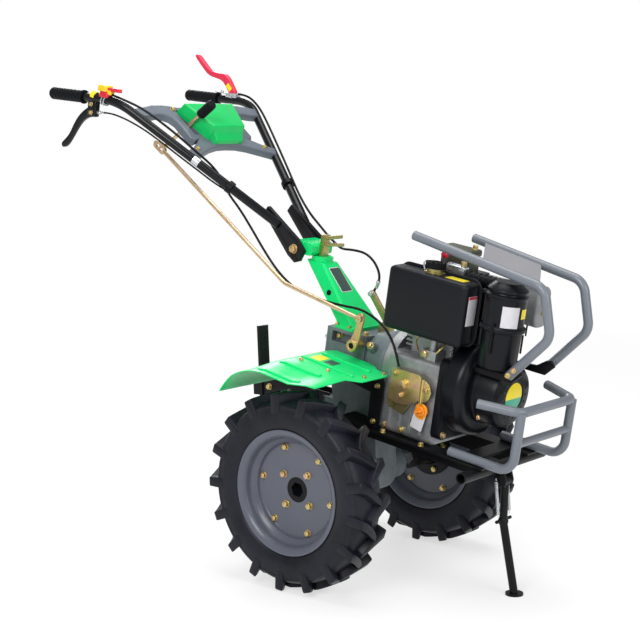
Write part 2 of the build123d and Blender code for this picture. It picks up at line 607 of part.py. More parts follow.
def make_fenders():
    """Pressed fender: a flat top with fore and aft ribs, a rolled-down rear edge and a little rise aft."""
    y_in, y_out = FENDER_Y
    tip_x, tip_z = FENDER_TIP
    mid_x, mid_z = FENDER_MID
    top = FENDER_Z + FENDER_T
    skin = Line((FENDER_FRONT, 0, top), (FENDER_RIDGE_X, 0, top))
    skin += ThreePointArc((FENDER_RIDGE_X, 0, top), (mid_x, 0, mid_z + FENDER_T), (tip_x, 0, tip_z))
    under = Line((FENDER_FRONT, 0, FENDER_Z), (FENDER_RIDGE_X, 0, FENDER_Z))
    under += ThreePointArc((FENDER_RIDGE_X, 0, FENDER_Z), (mid_x, 0, mid_z), (tip_x + FENDER_T, 0, tip_z))
    ends = Line((FENDER_FRONT, 0, top), (FENDER_FRONT, 0, FENDER_Z))
    ends += Line((tip_x, 0, tip_z), (tip_x + FENDER_T, 0, tip_z))
    sheet = Pos(0, y_in, 0) * extrude(make_face(skin + under + ends), y_out - y_in, dir=(0, 1, 0))
    sheet -= box((FENDER_STEP_X, FENDER_FRONT + 1), (FENDER_STEP_Y, y_out + 1), (FENDER_Z - 1, top + 1))
    sheet -= box((FENDER_NOTCH_X, FENDER_FRONT + 1), (y_in - 1, FENDER_NOTCH_Y), (FENDER_Z - 1, top + 1))
    pitch = (y_out - y_in) / RIB_COUNT
    for index in range(RIB_COUNT):
        rib_y = y_in + pitch * (index + 0.5)
        front = FENDER_NOTCH_X if rib_y < FENDER_NOTCH_Y else FENDER_STEP_X - RIB_SHORT
        sheet += box((FENDER_RIDGE_X, front), (rib_y - RIB_W / 2, rib_y + RIB_W / 2), (FENDER_Z, top + RIB_H))
    tilt = Pos(FENDER_FRONT, 0, FENDER_Z) * Rot(0, FENDER_RISE, 0) * Pos(-FENDER_FRONT, 0, -FENDER_Z)
    parts["left_fender"] = tilt * sheet
    parts["right_fender"] = left(parts["left_fender"])

    case_side = CASE_HEAD_HALF_W
    stay = tilt * box(STAY_X, (case_side, STAY_OUT), (FENDER_Z - STAY_T, FENDER_Z))
    upright = box(STAY_X, (case_side, case_side + STAY_T), (CASE_HEAD_LOW, FENDER_Z))
    parts["fender_stays"] = Compound([stay + upright, left(stay + upright)])


def make_rear():
    lean = Pos(DRAG_AT[0], 0, DRAG_AT[1]) * Rot(0, -DRAG_LEAN, 0)
    thick, wide = DRAG_SIZE
    bar = lean * Pos(0, 0, (DRAG_UP - DRAG_DOWN) / 2) * Box(thick, wide, DRAG_UP + DRAG_DOWN)
    for step in range(-5, 5):
        bar -= lean * rod_x(DRAG_HOLE_R, (-20, 20), 0, DRAG_PITCH * step)
    parts["drag_bar"] = bar

    arm = box((DRAG_AT[0] + 4, REAR_BOSS_X), (-22, 22), (HITCH_Z - 25, HITCH_Z + 25))
    arm += box((REAR_BOSS_X - 10, REAR_BOSS_X), (-CASE_HALF_W, CASE_HALF_W), (HITCH_Z - 40, HITCH_Z + 40))
    socket = lean * Box(thick + 24, wide + 24, 62)
    hollow = lean * Box(thick + 2 * SEAT_CLEAR, wide + 2 * SEAT_CLEAR, 200)
    parts["hitch"] = arm + socket - hollow + lean * rod_x(DRAG_HOLE_R - RUN_CLEAR * 2, (-22, 12), 0, 0)


def make_column():
    base = Plane.XY.offset(CASE_TOP) * Pos((COLUMN_BASE_X[0] + COLUMN_BASE_X[1]) / 2, 0) * RectangleRounded(
        COLUMN_BASE_X[1] - COLUMN_BASE_X[0], 2 * COLUMN_BASE_HALF_W, 10)
    foot = Plane.XY.offset(CASE_TOP + FLANGE_T) * Pos((COLUMN_BASE_X[0] + COLUMN_BASE_X[1]) / 2, 0) * (
        RectangleRounded(COLUMN_BASE_X[1] - COLUMN_BASE_X[0] - 8, 2 * COLUMN_BASE_HALF_W - 14, 10))
    crown = Plane.XY.offset(COLUMN_TOP) * Pos((COLUMN_TOP_X[0] + COLUMN_TOP_X[1]) / 2, 0) * RectangleRounded(
        COLUMN_TOP_X[1] - COLUMN_TOP_X[0], 2 * COLUMN_TOP_HALF_W, 10)
    parts["column"] = extrude(base, FLANGE_T) + loft([foot, crown])

    neck_x = (COLUMN_TOP_X[0] + COLUMN_TOP_X[1]) / 2
    tilt_x, tilt_z = TILT_XZ
    neck_top = COLUMN_TOP + NECK_H
    neck = rod_z(NECK_R, neck_x, 0, (COLUMN_TOP, neck_top))
    seat = box((tilt_x - 20, CLAMP_X[0]), (-HEAD_HALF_W, HEAD_HALF_W), (neck_top, tilt_z + 24))
    seat = fillet(seat.edges().filter_by(Axis.Y), 12)
    pin = rod_y(TILT_PIN_R, tilt_x, (-HEAD_HALF_W - EAR_T - 8, HEAD_HALF_W + EAR_T + 8), tilt_z)
    parts["tilt_head"] = neck + seat + pin

    clamp = box(CLAMP_X, (-CLAMP_HALF_W, CLAMP_HALF_W), (neck_top, CLAMP_TOP))
    for start_z, end_x, end_z in CLAMP_RODS:
        clamp += rod((CLAMP_X[1] - 4, 0, start_z), (end_x, 0, end_z), CLAMP_ROD_R)
    parts["clamp_levers"] = clamp - seat


def bar_frame():
    """Handlebar frame: x up the tubes, y to the right, z off the tubes, from the tilt pin."""
    angle = math.radians(HANDLE_ANGLE)
    return Plane((TILT_XZ[0], 0, TILT_XZ[1]), x_dir=(-math.cos(angle), 0, math.sin(angle)),
                 z_dir=(math.sin(angle), 0, math.cos(angle))).location


def tube_y(s):
    """Sideways place of a handle tube at a distance up from the tilt pin."""
    share = (s - HANDLE_START[0]) / (HANDLE_BEND[0] - HANDLE_START[0])
    return HANDLE_START[1] + share * (HANDLE_BEND[1] - HANDLE_START[1])


def make_handlebar():
    place = bar_frame()
    in_y = HEAD_HALF_W + SEAT_CLEAR
    path = [(HANDLE_START[0], HANDLE_START[1], HANDLE_N), (HANDLE_BEND[0], HANDLE_BEND[1], HANDLE_N),
            (HANDLE_END[0], HANDLE_BEND[1] + 3, HANDLE_END[1])]
    bar = tube(path, HANDLE_BEND_R, HANDLE_R)
    room = tube(path, HANDLE_BEND_R, HANDLE_R + SEAT_CLEAR)
    ear = Plane.XZ * make_face(Polyline(*EAR_OUTLINE, close=True))
    plate = Pos(0, in_y, 0) * extrude(ear, EAR_T, dir=(0, 1, 0))
    bar = bar + plate - rod_y(TILT_PIN_R + RUN_CLEAR, 0, (0, 200), 0)
    parts["right_handle"] = place * bar
    parts["left_handle"] = left(parts["right_handle"])

    run = Vector(HANDLE_END[0] - HANDLE_BEND[0], 3, HANDLE_END[1] - HANDLE_N).normalized()
    end = Vector(HANDLE_END[0], HANDLE_BEND[1] + 3, HANDLE_END[1])
    inner = end - run * (GRIP_LEN - 6)
    grip = extrude(Plane(inner, z_dir=run) * Circle(GRIP_R), GRIP_LEN)
    grip = fillet(grip.edges(), 4) - room
    parts["right_grip"] = place * grip
    parts["left_grip"] = left(parts["right_grip"])

    low_s, high_s = CONSOLE_S
    n = (HANDLE_N - CONSOLE_T / 2, HANDLE_N + CONSOLE_T / 2)
    spine = box((COVER_S[0], COVER_S[1] - 20), (-COVER_HALF_W[0], COVER_HALF_W[0]), n)
    wing = make_face(Polyline((low_s, tube_y(low_s)), (low_s + 34, tube_y(low_s + 34)),
                              (WAIST_S[0], WAIST_Y), (WAIST_S[1], WAIST_Y),
                              (high_s - 30, tube_y(high_s - 30)), (high_s, tube_y(high_s)),
                              (high_s - 12, 60), (COVER_S[0], 50), close=True))
    wing = Plane.XY.offset(n[0]) * wing
    slot_s = (LEVER_SLOT_S - LEVER_SLOT_HALF, LEVER_SLOT_S + LEVER_SLOT_HALF)
    wing = extrude(wing, CONSOLE_T) - box(slot_s, LEVER_SLOT_Y, (-40, 80))
    half = spine + wing - room
    parts["console_frame"] = place * (half + mirror(half, about=Plane.XZ))

    face_n = n[1]
    cover_base = make_face(Polyline((COVER_S[0], COVER_HALF_W[0]), (COVER_S[0], -COVER_HALF_W[0]),
                                    (COVER_S[1], -COVER_HALF_W[1]), (COVER_S[1], COVER_HALF_W[1]), close=True))
    cover = extrude(Plane.XY.offset(face_n) * cover_base, COVER_H[1], taper=14)
    drop = COVER_H[1] - COVER_H[0]
    run_s = COVER_S[1] - COVER_S[0]
    cut = Plane.XZ * make_face(Polyline((COVER_S[0] - 20, face_n + COVER_H[0]),
                                        (COVER_S[0] + 0.55 * run_s, face_n + COVER_H[0] + drop),
                                        (COVER_S[0] - 20, face_n + COVER_H[0] + drop + 40), close=True))
    cover -= extrude(cut, 300, both=True)
    parts["console_cover"] = place * cover

    eye_x, eye_z = LEVER_EYE
    top_x, top_z = LEVER_TOP
    lever_run = Vector(top_x - eye_x, 0, top_z - eye_z).normalized()
    top = Vector(top_x, LEVER_Y, top_z)
    lever = rod((eye_x, LEVER_Y, eye_z), tuple(top), LEVER_R)
    lever += rod_y(ROD_PIN_R - 0.5, eye_x, (ROD_Y[1] - 8, LEVER_Y), eye_z)
    pivot = place * Pos(LEVER_SLOT_S, 0, HANDLE_N) * rod_y(LEVER_R - 1, 0, LEVER_SLOT_Y, 0)
    lever += pivot
    knob = rod(tuple(top - lever_run * 8), tuple(top + lever_run * (KNOB_LEN - 8)), KNOB_R)
    knob = fillet(knob.edges(), 5)
    parts["gear_lever"] = lever - knob
    parts["gear_knob"] = knob

    make_hand_controls(place, place * room)


def make_hand_controls(place, room):
    """Levers at the grips, placed from the tubes' corner and clear of the tubes' room."""
    corner = (place * Pos(HANDLE_BEND[0], HANDLE_BEND[1], HANDLE_N)).position
    y = HANDLE_BEND[1] + 2

    def block(limits, half_w):
        (x0, x1), (z0, z1) = limits
        return box((corner.X + x0, corner.X + x1), (y - half_w, y + half_w), (corner.Z + z0, corner.Z + z1))

    def blade(outline, half_w):
        return plate_xz([(corner.X + dx, corner.Z + dz) for dx, dz in outline], (y - half_w, y + half_w))

    right = left(block(RIGHT_BRACKET, LEVER_HALF_W + 3) + blade(RIGHT_BLADE, LEVER_HALF_W))
    parts["right_lever"] = right - room - parts["right_grip"]
    throttle = left(block(THROTTLE_BASE, THROTTLE_HALF_W)) - room
    parts["throttle_lever"] = throttle + left(blade(THROTTLE_CAP, THROTTLE_HALF_W + 4))
    clutch = block(CLUTCH_BRACKET, LEVER_HALF_W + 2) + blade(CLUTCH_BLADE, LEVER_HALF_W)
    parts["clutch_lever"] = clutch - left(room) - parts["left_grip"]


def make_shift_rod():
    eye_x, eye_z = SHIFT_EYE
    top_x, top_z = LEVER_EYE
    near_y, far_y = ROD_Y
    run = Vector(top_x - ROD_BEND[0], 0, top_z - ROD_BEND[1]).normalized()
    bar = tube([(eye_x, near_y, eye_z), (ROD_BEND[0], near_y, ROD_BEND[1]),
                (top_x - run.X * 20, far_y, top_z - run.Z * 20)], 60, ROD_R)
    bar += rod_y(10, eye_x, (near_y - 4, near_y + 4), eye_z)
    bar -= rod_y(ROD_PIN_R + RUN_CLEAR, eye_x, (near_y - 20, near_y + 20), eye_z)
    tilt = math.degrees(math.atan2(run.Z, -run.X))
    slot_at = Pos(top_x, far_y, top_z) * Rot(0, tilt, 0) * Rot(90, 0, 0)
    bar += slot_at * extrude(SlotCenterToCenter(30, 24), 4, both=True)
    parts["shift_rod"] = bar - slot_at * extrude(SlotCenterToCenter(22, 11), 20, both=True)


def make_cables():
    parts["clutch_cable"] = cord(CLUTCH_ROUTE, CABLE_R)
    parts["throttle_cable"] = cord(THROTTLE_ROUTE, CABLE_R)


def park():
    """Tip the machine onto its stand and put the origin under the middle of its box."""
    stance = Pos(0, 0, TYRE_R) * Rot(0, PARK_PITCH, 0)
    placed = {name: stance * shape for name, shape in parts.items()}
    bounds = Compound(list(placed.values())).bounding_box()
    middle = bounds.center()
    shift = Pos(-middle.X, -middle.Y, -bounds.min.Z)
    print("shift", -middle.X, -middle.Y, -bounds.min.Z, "size", bounds.size)
    return {name: shift * shape for name, shape in placed.items()}


make_wheels()
make_drive()
make_engine()
make_frame()
make_stand()
make_fenders()
make_rear()
make_column()
make_handlebar()
make_shift_rod()
make_cables()

os.makedirs("parts", exist_ok=True)
for node, solid in park().items():
    export_step(solid, f"parts/{node}.step")
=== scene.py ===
"""Power weeder: finishes, tyres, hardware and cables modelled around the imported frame."""
import logging
import math
from dataclasses import dataclass
from enum import Enum
from typing import Any, Callable, Iterable, Sequence

import bmesh
import bpy
from mathutils import Matrix, Vector


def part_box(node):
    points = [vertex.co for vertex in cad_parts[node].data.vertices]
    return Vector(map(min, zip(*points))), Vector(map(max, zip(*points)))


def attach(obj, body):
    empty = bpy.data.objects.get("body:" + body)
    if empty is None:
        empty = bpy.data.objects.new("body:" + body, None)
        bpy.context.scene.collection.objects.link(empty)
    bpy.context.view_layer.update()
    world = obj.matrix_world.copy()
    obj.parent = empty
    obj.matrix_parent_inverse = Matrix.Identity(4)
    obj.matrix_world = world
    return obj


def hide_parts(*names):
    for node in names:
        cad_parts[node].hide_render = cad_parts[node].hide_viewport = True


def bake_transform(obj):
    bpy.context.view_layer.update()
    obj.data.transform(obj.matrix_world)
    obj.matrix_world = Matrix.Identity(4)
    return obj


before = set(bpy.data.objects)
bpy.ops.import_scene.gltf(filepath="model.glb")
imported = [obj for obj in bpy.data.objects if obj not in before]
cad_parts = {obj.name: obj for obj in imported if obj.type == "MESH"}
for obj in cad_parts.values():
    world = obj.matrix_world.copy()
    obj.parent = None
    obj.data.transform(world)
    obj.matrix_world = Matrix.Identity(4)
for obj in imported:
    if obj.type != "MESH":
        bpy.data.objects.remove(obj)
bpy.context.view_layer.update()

LOG = logging.getLogger("weeder")
Point = tuple[float, float, float]
Colour = tuple[float, float, float]
Outline = tuple[tuple[float, float], ...]
Place = tuple[Point, Point]

# Directions on the level machine.
FORWARD: Point = (1, 0, 0)
LEFTWARD: Point = (0, 1, 0)
RIGHTWARD: Point = (0, -1, 0)
UPWARD: Point = (0, 0, 1)

# The level machine frame: millimetres from the axle's middle, tipped nose-down onto the stand.
MM = 0.001
PARK_PITCH = math.radians(9.0)


def axle_middle() -> Vector:
    """Middle of the wheel axle in the part's frame, from the two rims."""
    corners = [corner for node in ("left_rim", "right_rim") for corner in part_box(node)]
    return sum(corners, Vector()) / len(corners)


PARK = Matrix.Translation(axle_middle()) @ Matrix.Rotation(PARK_PITCH, 4, "Y") @ Matrix.Scale(MM, 4)


class Body(str, Enum):
    """The bodies that whole pieces ride on."""

    CHASSIS = "chassis"
    LEFT_WHEEL = "left_wheel"
    RIGHT_WHEEL = "right_wheel"
    HANDLEBAR = "handlebar"


class Side(Enum):
    """The machine's two sides, by the sign of Y."""

    LEFT = 1
    RIGHT = -1

    @property
    def word(self) -> str:
        """The side's name in lower case."""
        return self.name.lower()


class Signal:
    """A shader socket whose arithmetic adds Math nodes."""

    def __init__(self, graph: "Graph", socket: bpy.types.NodeSocket) -> None:
        """Wrap one output socket of a graph."""
        self.graph = graph
        self.socket = socket

    def _math(self, operation: str, first: Any, second: Any) -> "Signal":
        """Add one Math node on two values."""
        return self.graph.node("ShaderNodeMath", {"operation": operation}, {0: first, 1: second})

    def __add__(self, other: Any) -> "Signal":
        """Sum with a value or another signal."""
        return self._math("ADD", self, other)

    __radd__ = __add__

    def __mul__(self, other: Any) -> "Signal":
        """Product with a value or another signal."""
        return self._math("MULTIPLY", self, other)

    def __rsub__(self, other: Any) -> "Signal":
        """A value less this signal."""
        return self._math("SUBTRACT", other, self)


class Graph:
    """The node tree of one material, with the few patterns that the finishes share."""

    def __init__(self, name: str) -> None:
        """Start a material that holds only its Principled shader.

        Args:
            name: The material's name.
        """
        self.material = bpy.data.materials.new(name)
        self.material.use_nodes = True
        self.tree = self.material.node_tree
        self.shader = self.tree.nodes["Principled BSDF"]
        self.place = self.node("ShaderNodeTexCoord", {}, {}, "Object")

    def node(self, kind: str, settings: dict[str, Any], inputs: dict[Any, Any], output: Any = 0) -> Signal:
        """Add a node, set it up and feed its sockets.

        Args:
            kind: The node's type.
            settings: Properties of the node, and "stops" for a ramp.
            inputs: Values or signals by socket name or number.
            output: The socket to return.

        Returns:
            The node's output as a signal.
        """
        made = self.tree.nodes.new(kind)
        for key, value in settings.items():
            if key == "stops":
                self._set_stops(made.color_ramp, value)
            else:
                setattr(made, key, value)
        for key, value in inputs.items():
            if isinstance(value, Signal):
                self.tree.links.new(value.socket, made.inputs[key])
            else:
                made.inputs[key].default_value = value
        return Signal(self, made.outputs[output])

    @staticmethod
    def _set_stops(ramp: bpy.types.ColorRamp, stops: Sequence[tuple[float, Colour]]) -> None:
        """Give a ramp its stops."""
        while len(ramp.elements) < len(stops):
            ramp.elements.new(1.0)
        for element, (position, colour) in zip(ramp.elements, stops):
            element.position = position
            element.color = (*colour, 1.0)

    def noise(self, scale: float, detail: float = 2.0, roughness: float = 0.5) -> Signal:
        """Noise in the part's own metres."""
        inputs = {"Vector": self.place, "Scale": scale, "Detail": detail, "Roughness": roughness}
        return self.node("ShaderNodeTexNoise", {}, inputs, "Fac")

    def ramp(self, value: Signal, stops: Sequence[tuple[float, Colour]]) -> Signal:
        """A colour ramp over a value."""
        return self.node("ShaderNodeValToRGB", {"stops": stops}, {"Fac": value}, "Color")

    def window(self, value: Signal, low: float, high: float) -> Signal:
        """A value stretched from one range to 0..1, clamped."""
        return self.node("ShaderNodeMapRange", {"clamp": True},
                         {"Value": value, "From Min": low, "From Max": high}, "Result")

    def mix(self, share: Any, first: Any, second: Any) -> Signal:
        """Two colours mixed by a share."""
        colours = [(*c, 1.0) if isinstance(c, tuple) else c for c in (first, second)]
        return self.node("ShaderNodeMix", {"data_type": "RGBA"},
                         {"Factor": share, "A": colours[0], "B": colours[1]}, 2)

    def edges(self, radius: float) -> tuple[Signal, Signal]:
        """Rounded normals and a mask of the sharp edges.

        Args:
            radius: The edge's radius in metres.

        Returns:
            The rounded normal, and a mask that is 1 on an edge.
        """
        rounded = self.node("ShaderNodeBevel", {"samples": 4}, {"Radius": radius})
        facing = self.node("ShaderNodeNewGeometry", {}, {}, "Normal")
        same = self.node("ShaderNodeVectorMath", {"operation": "DOT_PRODUCT"},
                         {0: rounded, 1: facing}, "Value")
        return rounded, self.window(1.0 - same, 0.02, 0.25)

    def bump(self, height: Signal, strength: float, depth: float, normal: Signal | None = None) -> Signal:
        """A bump from a height, over an optional normal."""
        inputs = {"Height": height, "Strength": strength, "Distance": depth}
        if normal:
            inputs["Normal"] = normal
        return self.node("ShaderNodeBump", {}, inputs)

    def feed(self, **sockets: Any) -> bpy.types.Material:
        """Set or link the shader's sockets, named with underscores for spaces.

        Args:
            **sockets: Values or signals by socket name.

        Returns:
            The finished material.
        """
        for key, value in sockets.items():
            socket = self.shader.inputs[key.replace("_", " ")]
            if isinstance(value, Signal):
                self.tree.links.new(value.socket, socket)
            else:
                socket.default_value = (*value, 1.0) if isinstance(value, tuple) else value
        return self.material


class Finish:
    """A finish that makes its material once, on first use."""

    name: str

    def build(self, graph: Graph) -> bpy.types.Material:
        """Wire the finish into a fresh graph."""
        raise NotImplementedError

    def material(self) -> bpy.types.Material:
        """The finish's material."""
        label = self.name + "_finish"
        return bpy.data.materials.get(label) or self.build(Graph(label))


def shaded(colour: Colour, share: float) -> Colour:
    """A colour made darker or lighter by a share of itself."""
    return tuple(min(1.0, channel * share) for channel in colour)


@dataclass(frozen=True)
class Paint(Finish):
    """Sprayed paint with orange peel, cloudy gloss and edges rubbed a little lighter."""

    name: str
    colour: Colour
    roughness: float = 0.36
    coat: float = 0.25
    peel: float = 0.12
    rubbed: float = 0.35
    edge: float = 0.0016
    gloss: float = 0.5

    def build(self, graph: Graph) -> bpy.types.Material:
        """Wire the paint."""
        rounded, rim = graph.edges(self.edge)
        cloud = graph.noise(7.0, 3.0)
        speck = graph.noise(160.0, 3.0, 0.7)
        base = graph.mix(cloud, shaded(self.colour, 0.86), shaded(self.colour, 1.12))
        worn = graph.mix(rim * graph.window(speck, 0.42, 0.62) * self.rubbed, base, shaded(self.colour, 1.9))
        peel = graph.bump(graph.noise(520.0, 2.0), self.peel, 0.0006, rounded)
        return graph.feed(Base_Color=worn, Roughness=self.roughness - 0.06 + cloud * 0.12, Normal=peel,
                          Coat_Weight=self.coat, Coat_Roughness=0.2, Specular_IOR_Level=self.gloss)


@dataclass(frozen=True)
class Moulded(Finish):
    """Moulded plastic with a fine grain and dusty edges."""

    name: str
    colour: Colour
    roughness: float = 0.5
    grain: float = 0.2
    grain_scale: float = 900.0
    gloss: float = 0.5

    def build(self, graph: Graph) -> bpy.types.Material:
        """Wire the plastic."""
        rounded, rim = graph.edges(0.0014)
        cloud = graph.noise(18.0, 2.0)
        base = graph.mix(cloud, shaded(self.colour, 0.88), shaded(self.colour, 1.14))
        dusty = graph.mix(rim * 0.25, base, shaded(self.colour, 1.6))
        grain = graph.bump(graph.noise(self.grain_scale, 2.0), self.grain, 0.0004, rounded)
        return graph.feed(Base_Color=dusty, Roughness=self.roughness - 0.05 + cloud * 0.1, Normal=grain,
                          Specular_IOR_Level=self.gloss)


@dataclass(frozen=True)
class Rubber(Finish):
    """Moulded tyre rubber with a bloom of grey and scuffs."""

    name: str
    colour: Colour
    bloom: Colour
    roughness: float = 0.62
    gloss: float = 0.25

    def build(self, graph: Graph) -> bpy.types.Material:
        """Wire the rubber."""
        cloud = graph.noise(9.0, 4.0, 0.6)
        scuff = graph.window(graph.noise(70.0, 4.0, 0.7), 0.55, 0.75)
        base = graph.mix(graph.window(cloud, 0.35, 0.7), self.colour, self.bloom)
        marked = graph.mix(scuff * 0.3, base, shaded(self.bloom, 1.5))
        skin = graph.bump(graph.noise(600.0, 3.0), 0.25, 0.0006)
        return graph.feed(Base_Color=marked, Roughness=self.roughness - 0.1 + cloud * 0.2, Normal=skin,
                          Specular_IOR_Level=self.gloss)


@dataclass(frozen=True)
class Zinc(Finish):
    """Zinc plate, clear or yellow, with the drifting tints of its passivation."""

    name: str
    tints: tuple[Colour, Colour, Colour]
    roughness: float = 0.33

    def build(self, graph: Graph) -> bpy.types.Material:
        """Wire the plating."""
        rounded, rim = graph.edges(0.0008)
        drift = graph.noise(34.0, 3.0, 0.6)
        tint = graph.ramp(drift, tuple(zip((0.36, 0.5, 0.64), self.tints)))
        bright = graph.mix(rim * 0.4, tint, shaded(self.tints[1], 1.5))
        scratch = graph.bump(graph.noise(700.0, 2.0), 0.1, 0.0003, rounded)
        return graph.feed(Base_Color=bright, Roughness=self.roughness - 0.06 + drift * 0.14, Metallic=0.9,
                          Normal=scratch)


@dataclass(frozen=True)
class Cast(Finish):
    """Sand-cast or die-cast metal, bare or thinly painted, with a pitted skin."""

    name: str
    colour: Colour
    metallic: float
    roughness: float = 0.48

    def build(self, graph: Graph) -> bpy.types.Material:
        """Wire the casting."""
        rounded, rim = graph.edges(0.002)
        stain = graph.noise(22.0, 4.0, 0.65)
        base = graph.mix(graph.window(stain, 0.35, 0.7), shaded(self.colour, 0.72), shaded(self.colour, 1.1))
        bright = graph.mix(rim * 0.5, base, shaded(self.colour, 1.35))
        skin = graph.bump(graph.noise(420.0, 4.0, 0.6), 0.35, 0.0008, rounded)
        return graph.feed(Base_Color=bright, Roughness=self.roughness - 0.1 + stain * 0.2,
                          Metallic=self.metallic, Normal=skin)


@dataclass(frozen=True)
class Label(Finish):
    """A printed sticker: plain ink under a thin film, a little faded."""

    name: str
    colour: Colour
    roughness: float = 0.3

    def build(self, graph: Graph) -> bpy.types.Material:
        """Wire the sticker."""
        fade = graph.noise(60.0, 3.0)
        ink = graph.mix(fade, shaded(self.colour, 0.9), shaded(self.colour, 1.06))
        film = graph.bump(graph.noise(240.0, 2.0), 0.05, 0.0004)
        return graph.feed(Base_Color=ink, Roughness=self.roughness - 0.05 + fade * 0.1, Normal=film)


BLACK_SATIN = Paint("black_satin", (0.004, 0.0045, 0.006), 0.24, 0.1, 0.08, 0.5, gloss=0.2)
FRAME_BLACK = Paint("frame_black", (0.005, 0.0052, 0.006), 0.4, 0.04, 0.14, 0.6, gloss=0.15)
BODY_GREEN = Paint("body_green", (0.0, 0.6, 0.15), 0.3, 0.1, 0.1, 0.25, gloss=0.25)
COVER_GREEN = Moulded("cover_green", (0.0, 0.46, 0.1), 0.24, 0.06, 400.0, 0.4)
TUBE_GREY = Paint("tube_grey", (0.13, 0.145, 0.17), 0.38, 0.2, 0.14, 0.5)
RIM_GREY = Paint("rim_grey", (0.085, 0.093, 0.12), 0.3, 0.15, 0.1, 0.4, gloss=0.35)
GUARD_SHEET = Paint("guard_sheet", (0.15, 0.15, 0.165), 0.4, 0.1, 0.2, 0.3)
CASE_GREY = Cast("case_grey", (0.13, 0.155, 0.17), 0.1, 0.5)
ALUMINIUM = Cast("cast_aluminium", (0.38, 0.39, 0.4), 0.75, 0.44)
HEAD_CAST = Cast("head_cast", (0.07, 0.07, 0.075), 0.5, 0.5)
HEAD_OLIVE = Paint("head_olive", (0.05, 0.054, 0.036), 0.45, 0.05, 0.2, 0.3, gloss=0.3)
SHROUD_BLACK = Paint("shroud_black", (0.004, 0.0045, 0.0065), 0.34, 0.05, 0.18, 0.4, gloss=0.18)
TANK_BLACK = Paint("tank_black", (0.005, 0.006, 0.008), 0.4, 0.05, 0.25, 0.3, 0.004, gloss=0.18)
CONSOLE_GREY = Moulded("console_grey", (0.105, 0.125, 0.155), 0.46)
BLACK_PLASTIC = Moulded("black_plastic", (0.004, 0.0045, 0.006), 0.42, gloss=0.15)
GRIP_RUBBER = Moulded("grip_rubber", (0.004, 0.0045, 0.006), 0.5, 0.3, 1100.0, gloss=0.12)
TYRE_RUBBER = Rubber("tyre_rubber", (0.005, 0.0054, 0.0085), (0.014, 0.015, 0.023), 0.42, 0.2)
ZINC_GOLD = Zinc("zinc_gold", ((0.5, 0.42, 0.14), (0.62, 0.47, 0.19), (0.6, 0.38, 0.24)))
# Olive zinc, used also as painted shade: on the governor's lower cover it stands for the gold plating in
# shade.
ZINC_OLIVE_AND_SHADED_GOLD = Zinc("zinc_olive_and_shaded_gold", ((0.3, 0.3, 0.1), (0.42, 0.36, 0.14), (0.46, 0.34, 0.2)))
ROD_GOLD = Zinc("rod_gold", ((0.58, 0.42, 0.24), (0.68, 0.52, 0.33), (0.62, 0.44, 0.3)))
ZINC_BRIGHT = Zinc("zinc_bright", ((0.52, 0.55, 0.58), (0.62, 0.64, 0.66), (0.56, 0.58, 0.62)), 0.28)
EXHAUST_GREY = Cast("exhaust_grey", (0.3, 0.31, 0.32), 0.4, 0.55)
RED_PLASTIC = Moulded("red_plastic", (0.55, 0.012, 0.03), 0.34, 0.06)
RED_LEVER = Moulded("red_lever", (0.66, 0.02, 0.06), 0.3, 0.05)
YELLOW_PLASTIC = Moulded("yellow_plastic", (0.85, 0.5, 0.01), 0.36, 0.06)
ORANGE_PLASTIC = Moulded("orange_plastic", (0.85, 0.24, 0.01), 0.3, 0.05)
CABLE_BLACK = Moulded("cable_black", (0.004, 0.004, 0.005), 0.4, 0.08, gloss=0.15)
LABEL_WHITE = Label("label_white", (0.56, 0.55, 0.58))
LABEL_YELLOW = Label("label_yellow", (0.85, 0.68, 0.01))
LABEL_ORANGE = Label("label_orange", (0.8, 0.3, 0.01))
LABEL_GREEN = Label("label_green", (0.04, 0.36, 0.22))
LABEL_RED = Label("label_red", (0.5, 0.02, 0.05))
LABEL_DARK = Label("label_dark", (0.03, 0.06, 0.05))

# Finish of each carried-over node.
NODE_FINISHES: dict[Finish, tuple[str, ...]] = {
    TYRE_RUBBER: ("left_tyre", "right_tyre"),
    RIM_GREY: ("left_rim", "right_rim"),
    FRAME_BLACK: ("left_hub", "right_hub", "engine_frame", "cross_tube", "stand_leg", "hitch", "drag_bar",
                  "guard_brackets", "fender_stays"),
    BLACK_SATIN: ("left_handle", "right_handle", "right_lever"),
    TUBE_GREY: ("bumper", "left_guard_bar", "right_guard_bar"),
    GUARD_SHEET: ("guard_plate",),
    CASE_GREY: ("gear_case", "clutch_housing"),
    BODY_GREEN: ("left_fender", "right_fender", "column", "tilt_head"),
    COVER_GREEN: ("console_cover",),
    CONSOLE_GREY: ("console_frame",),
    ALUMINIUM: ("crankcase", "cylinder", "injection_pump"),
    HEAD_CAST: ("cylinder_head",),
    SHROUD_BLACK: ("fan_shroud", "recoil_cover", "air_cleaner"),
    TANK_BLACK: ("fuel_tank",),
    BLACK_PLASTIC: ("fuel_cap", "gear_knob"),
    CABLE_BLACK: ("clutch_cable", "throttle_cable"),
    EXHAUST_GREY: ("muffler",),
    ZINC_GOLD: ("governor_plate", "shift_arm"),
    ZINC_OLIVE_AND_SHADED_GOLD: ("clamp_levers", "clutch_arm"),
    ROD_GOLD: ("shift_rod", "gear_lever"),
    ZINC_BRIGHT: ("stand_springs", "left_axle", "right_axle"),
    RED_PLASTIC: ("decompression_knob", "throttle_lever"),
    RED_LEVER: ("clutch_lever",),
    ORANGE_PLASTIC: ("dipstick",),
    GRIP_RUBBER: ("left_grip", "right_grip"),
}


def dress_nodes() -> None:
    """Give every carried-over node its finish."""
    for finish, names in NODE_FINISHES.items():
        for name in names:
            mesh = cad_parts[name].data
            mesh.materials.clear()
            mesh.materials.append(finish.material())
    LOG.info("dressed %d nodes", sum(len(names) for names in NODE_FINISHES.values()))


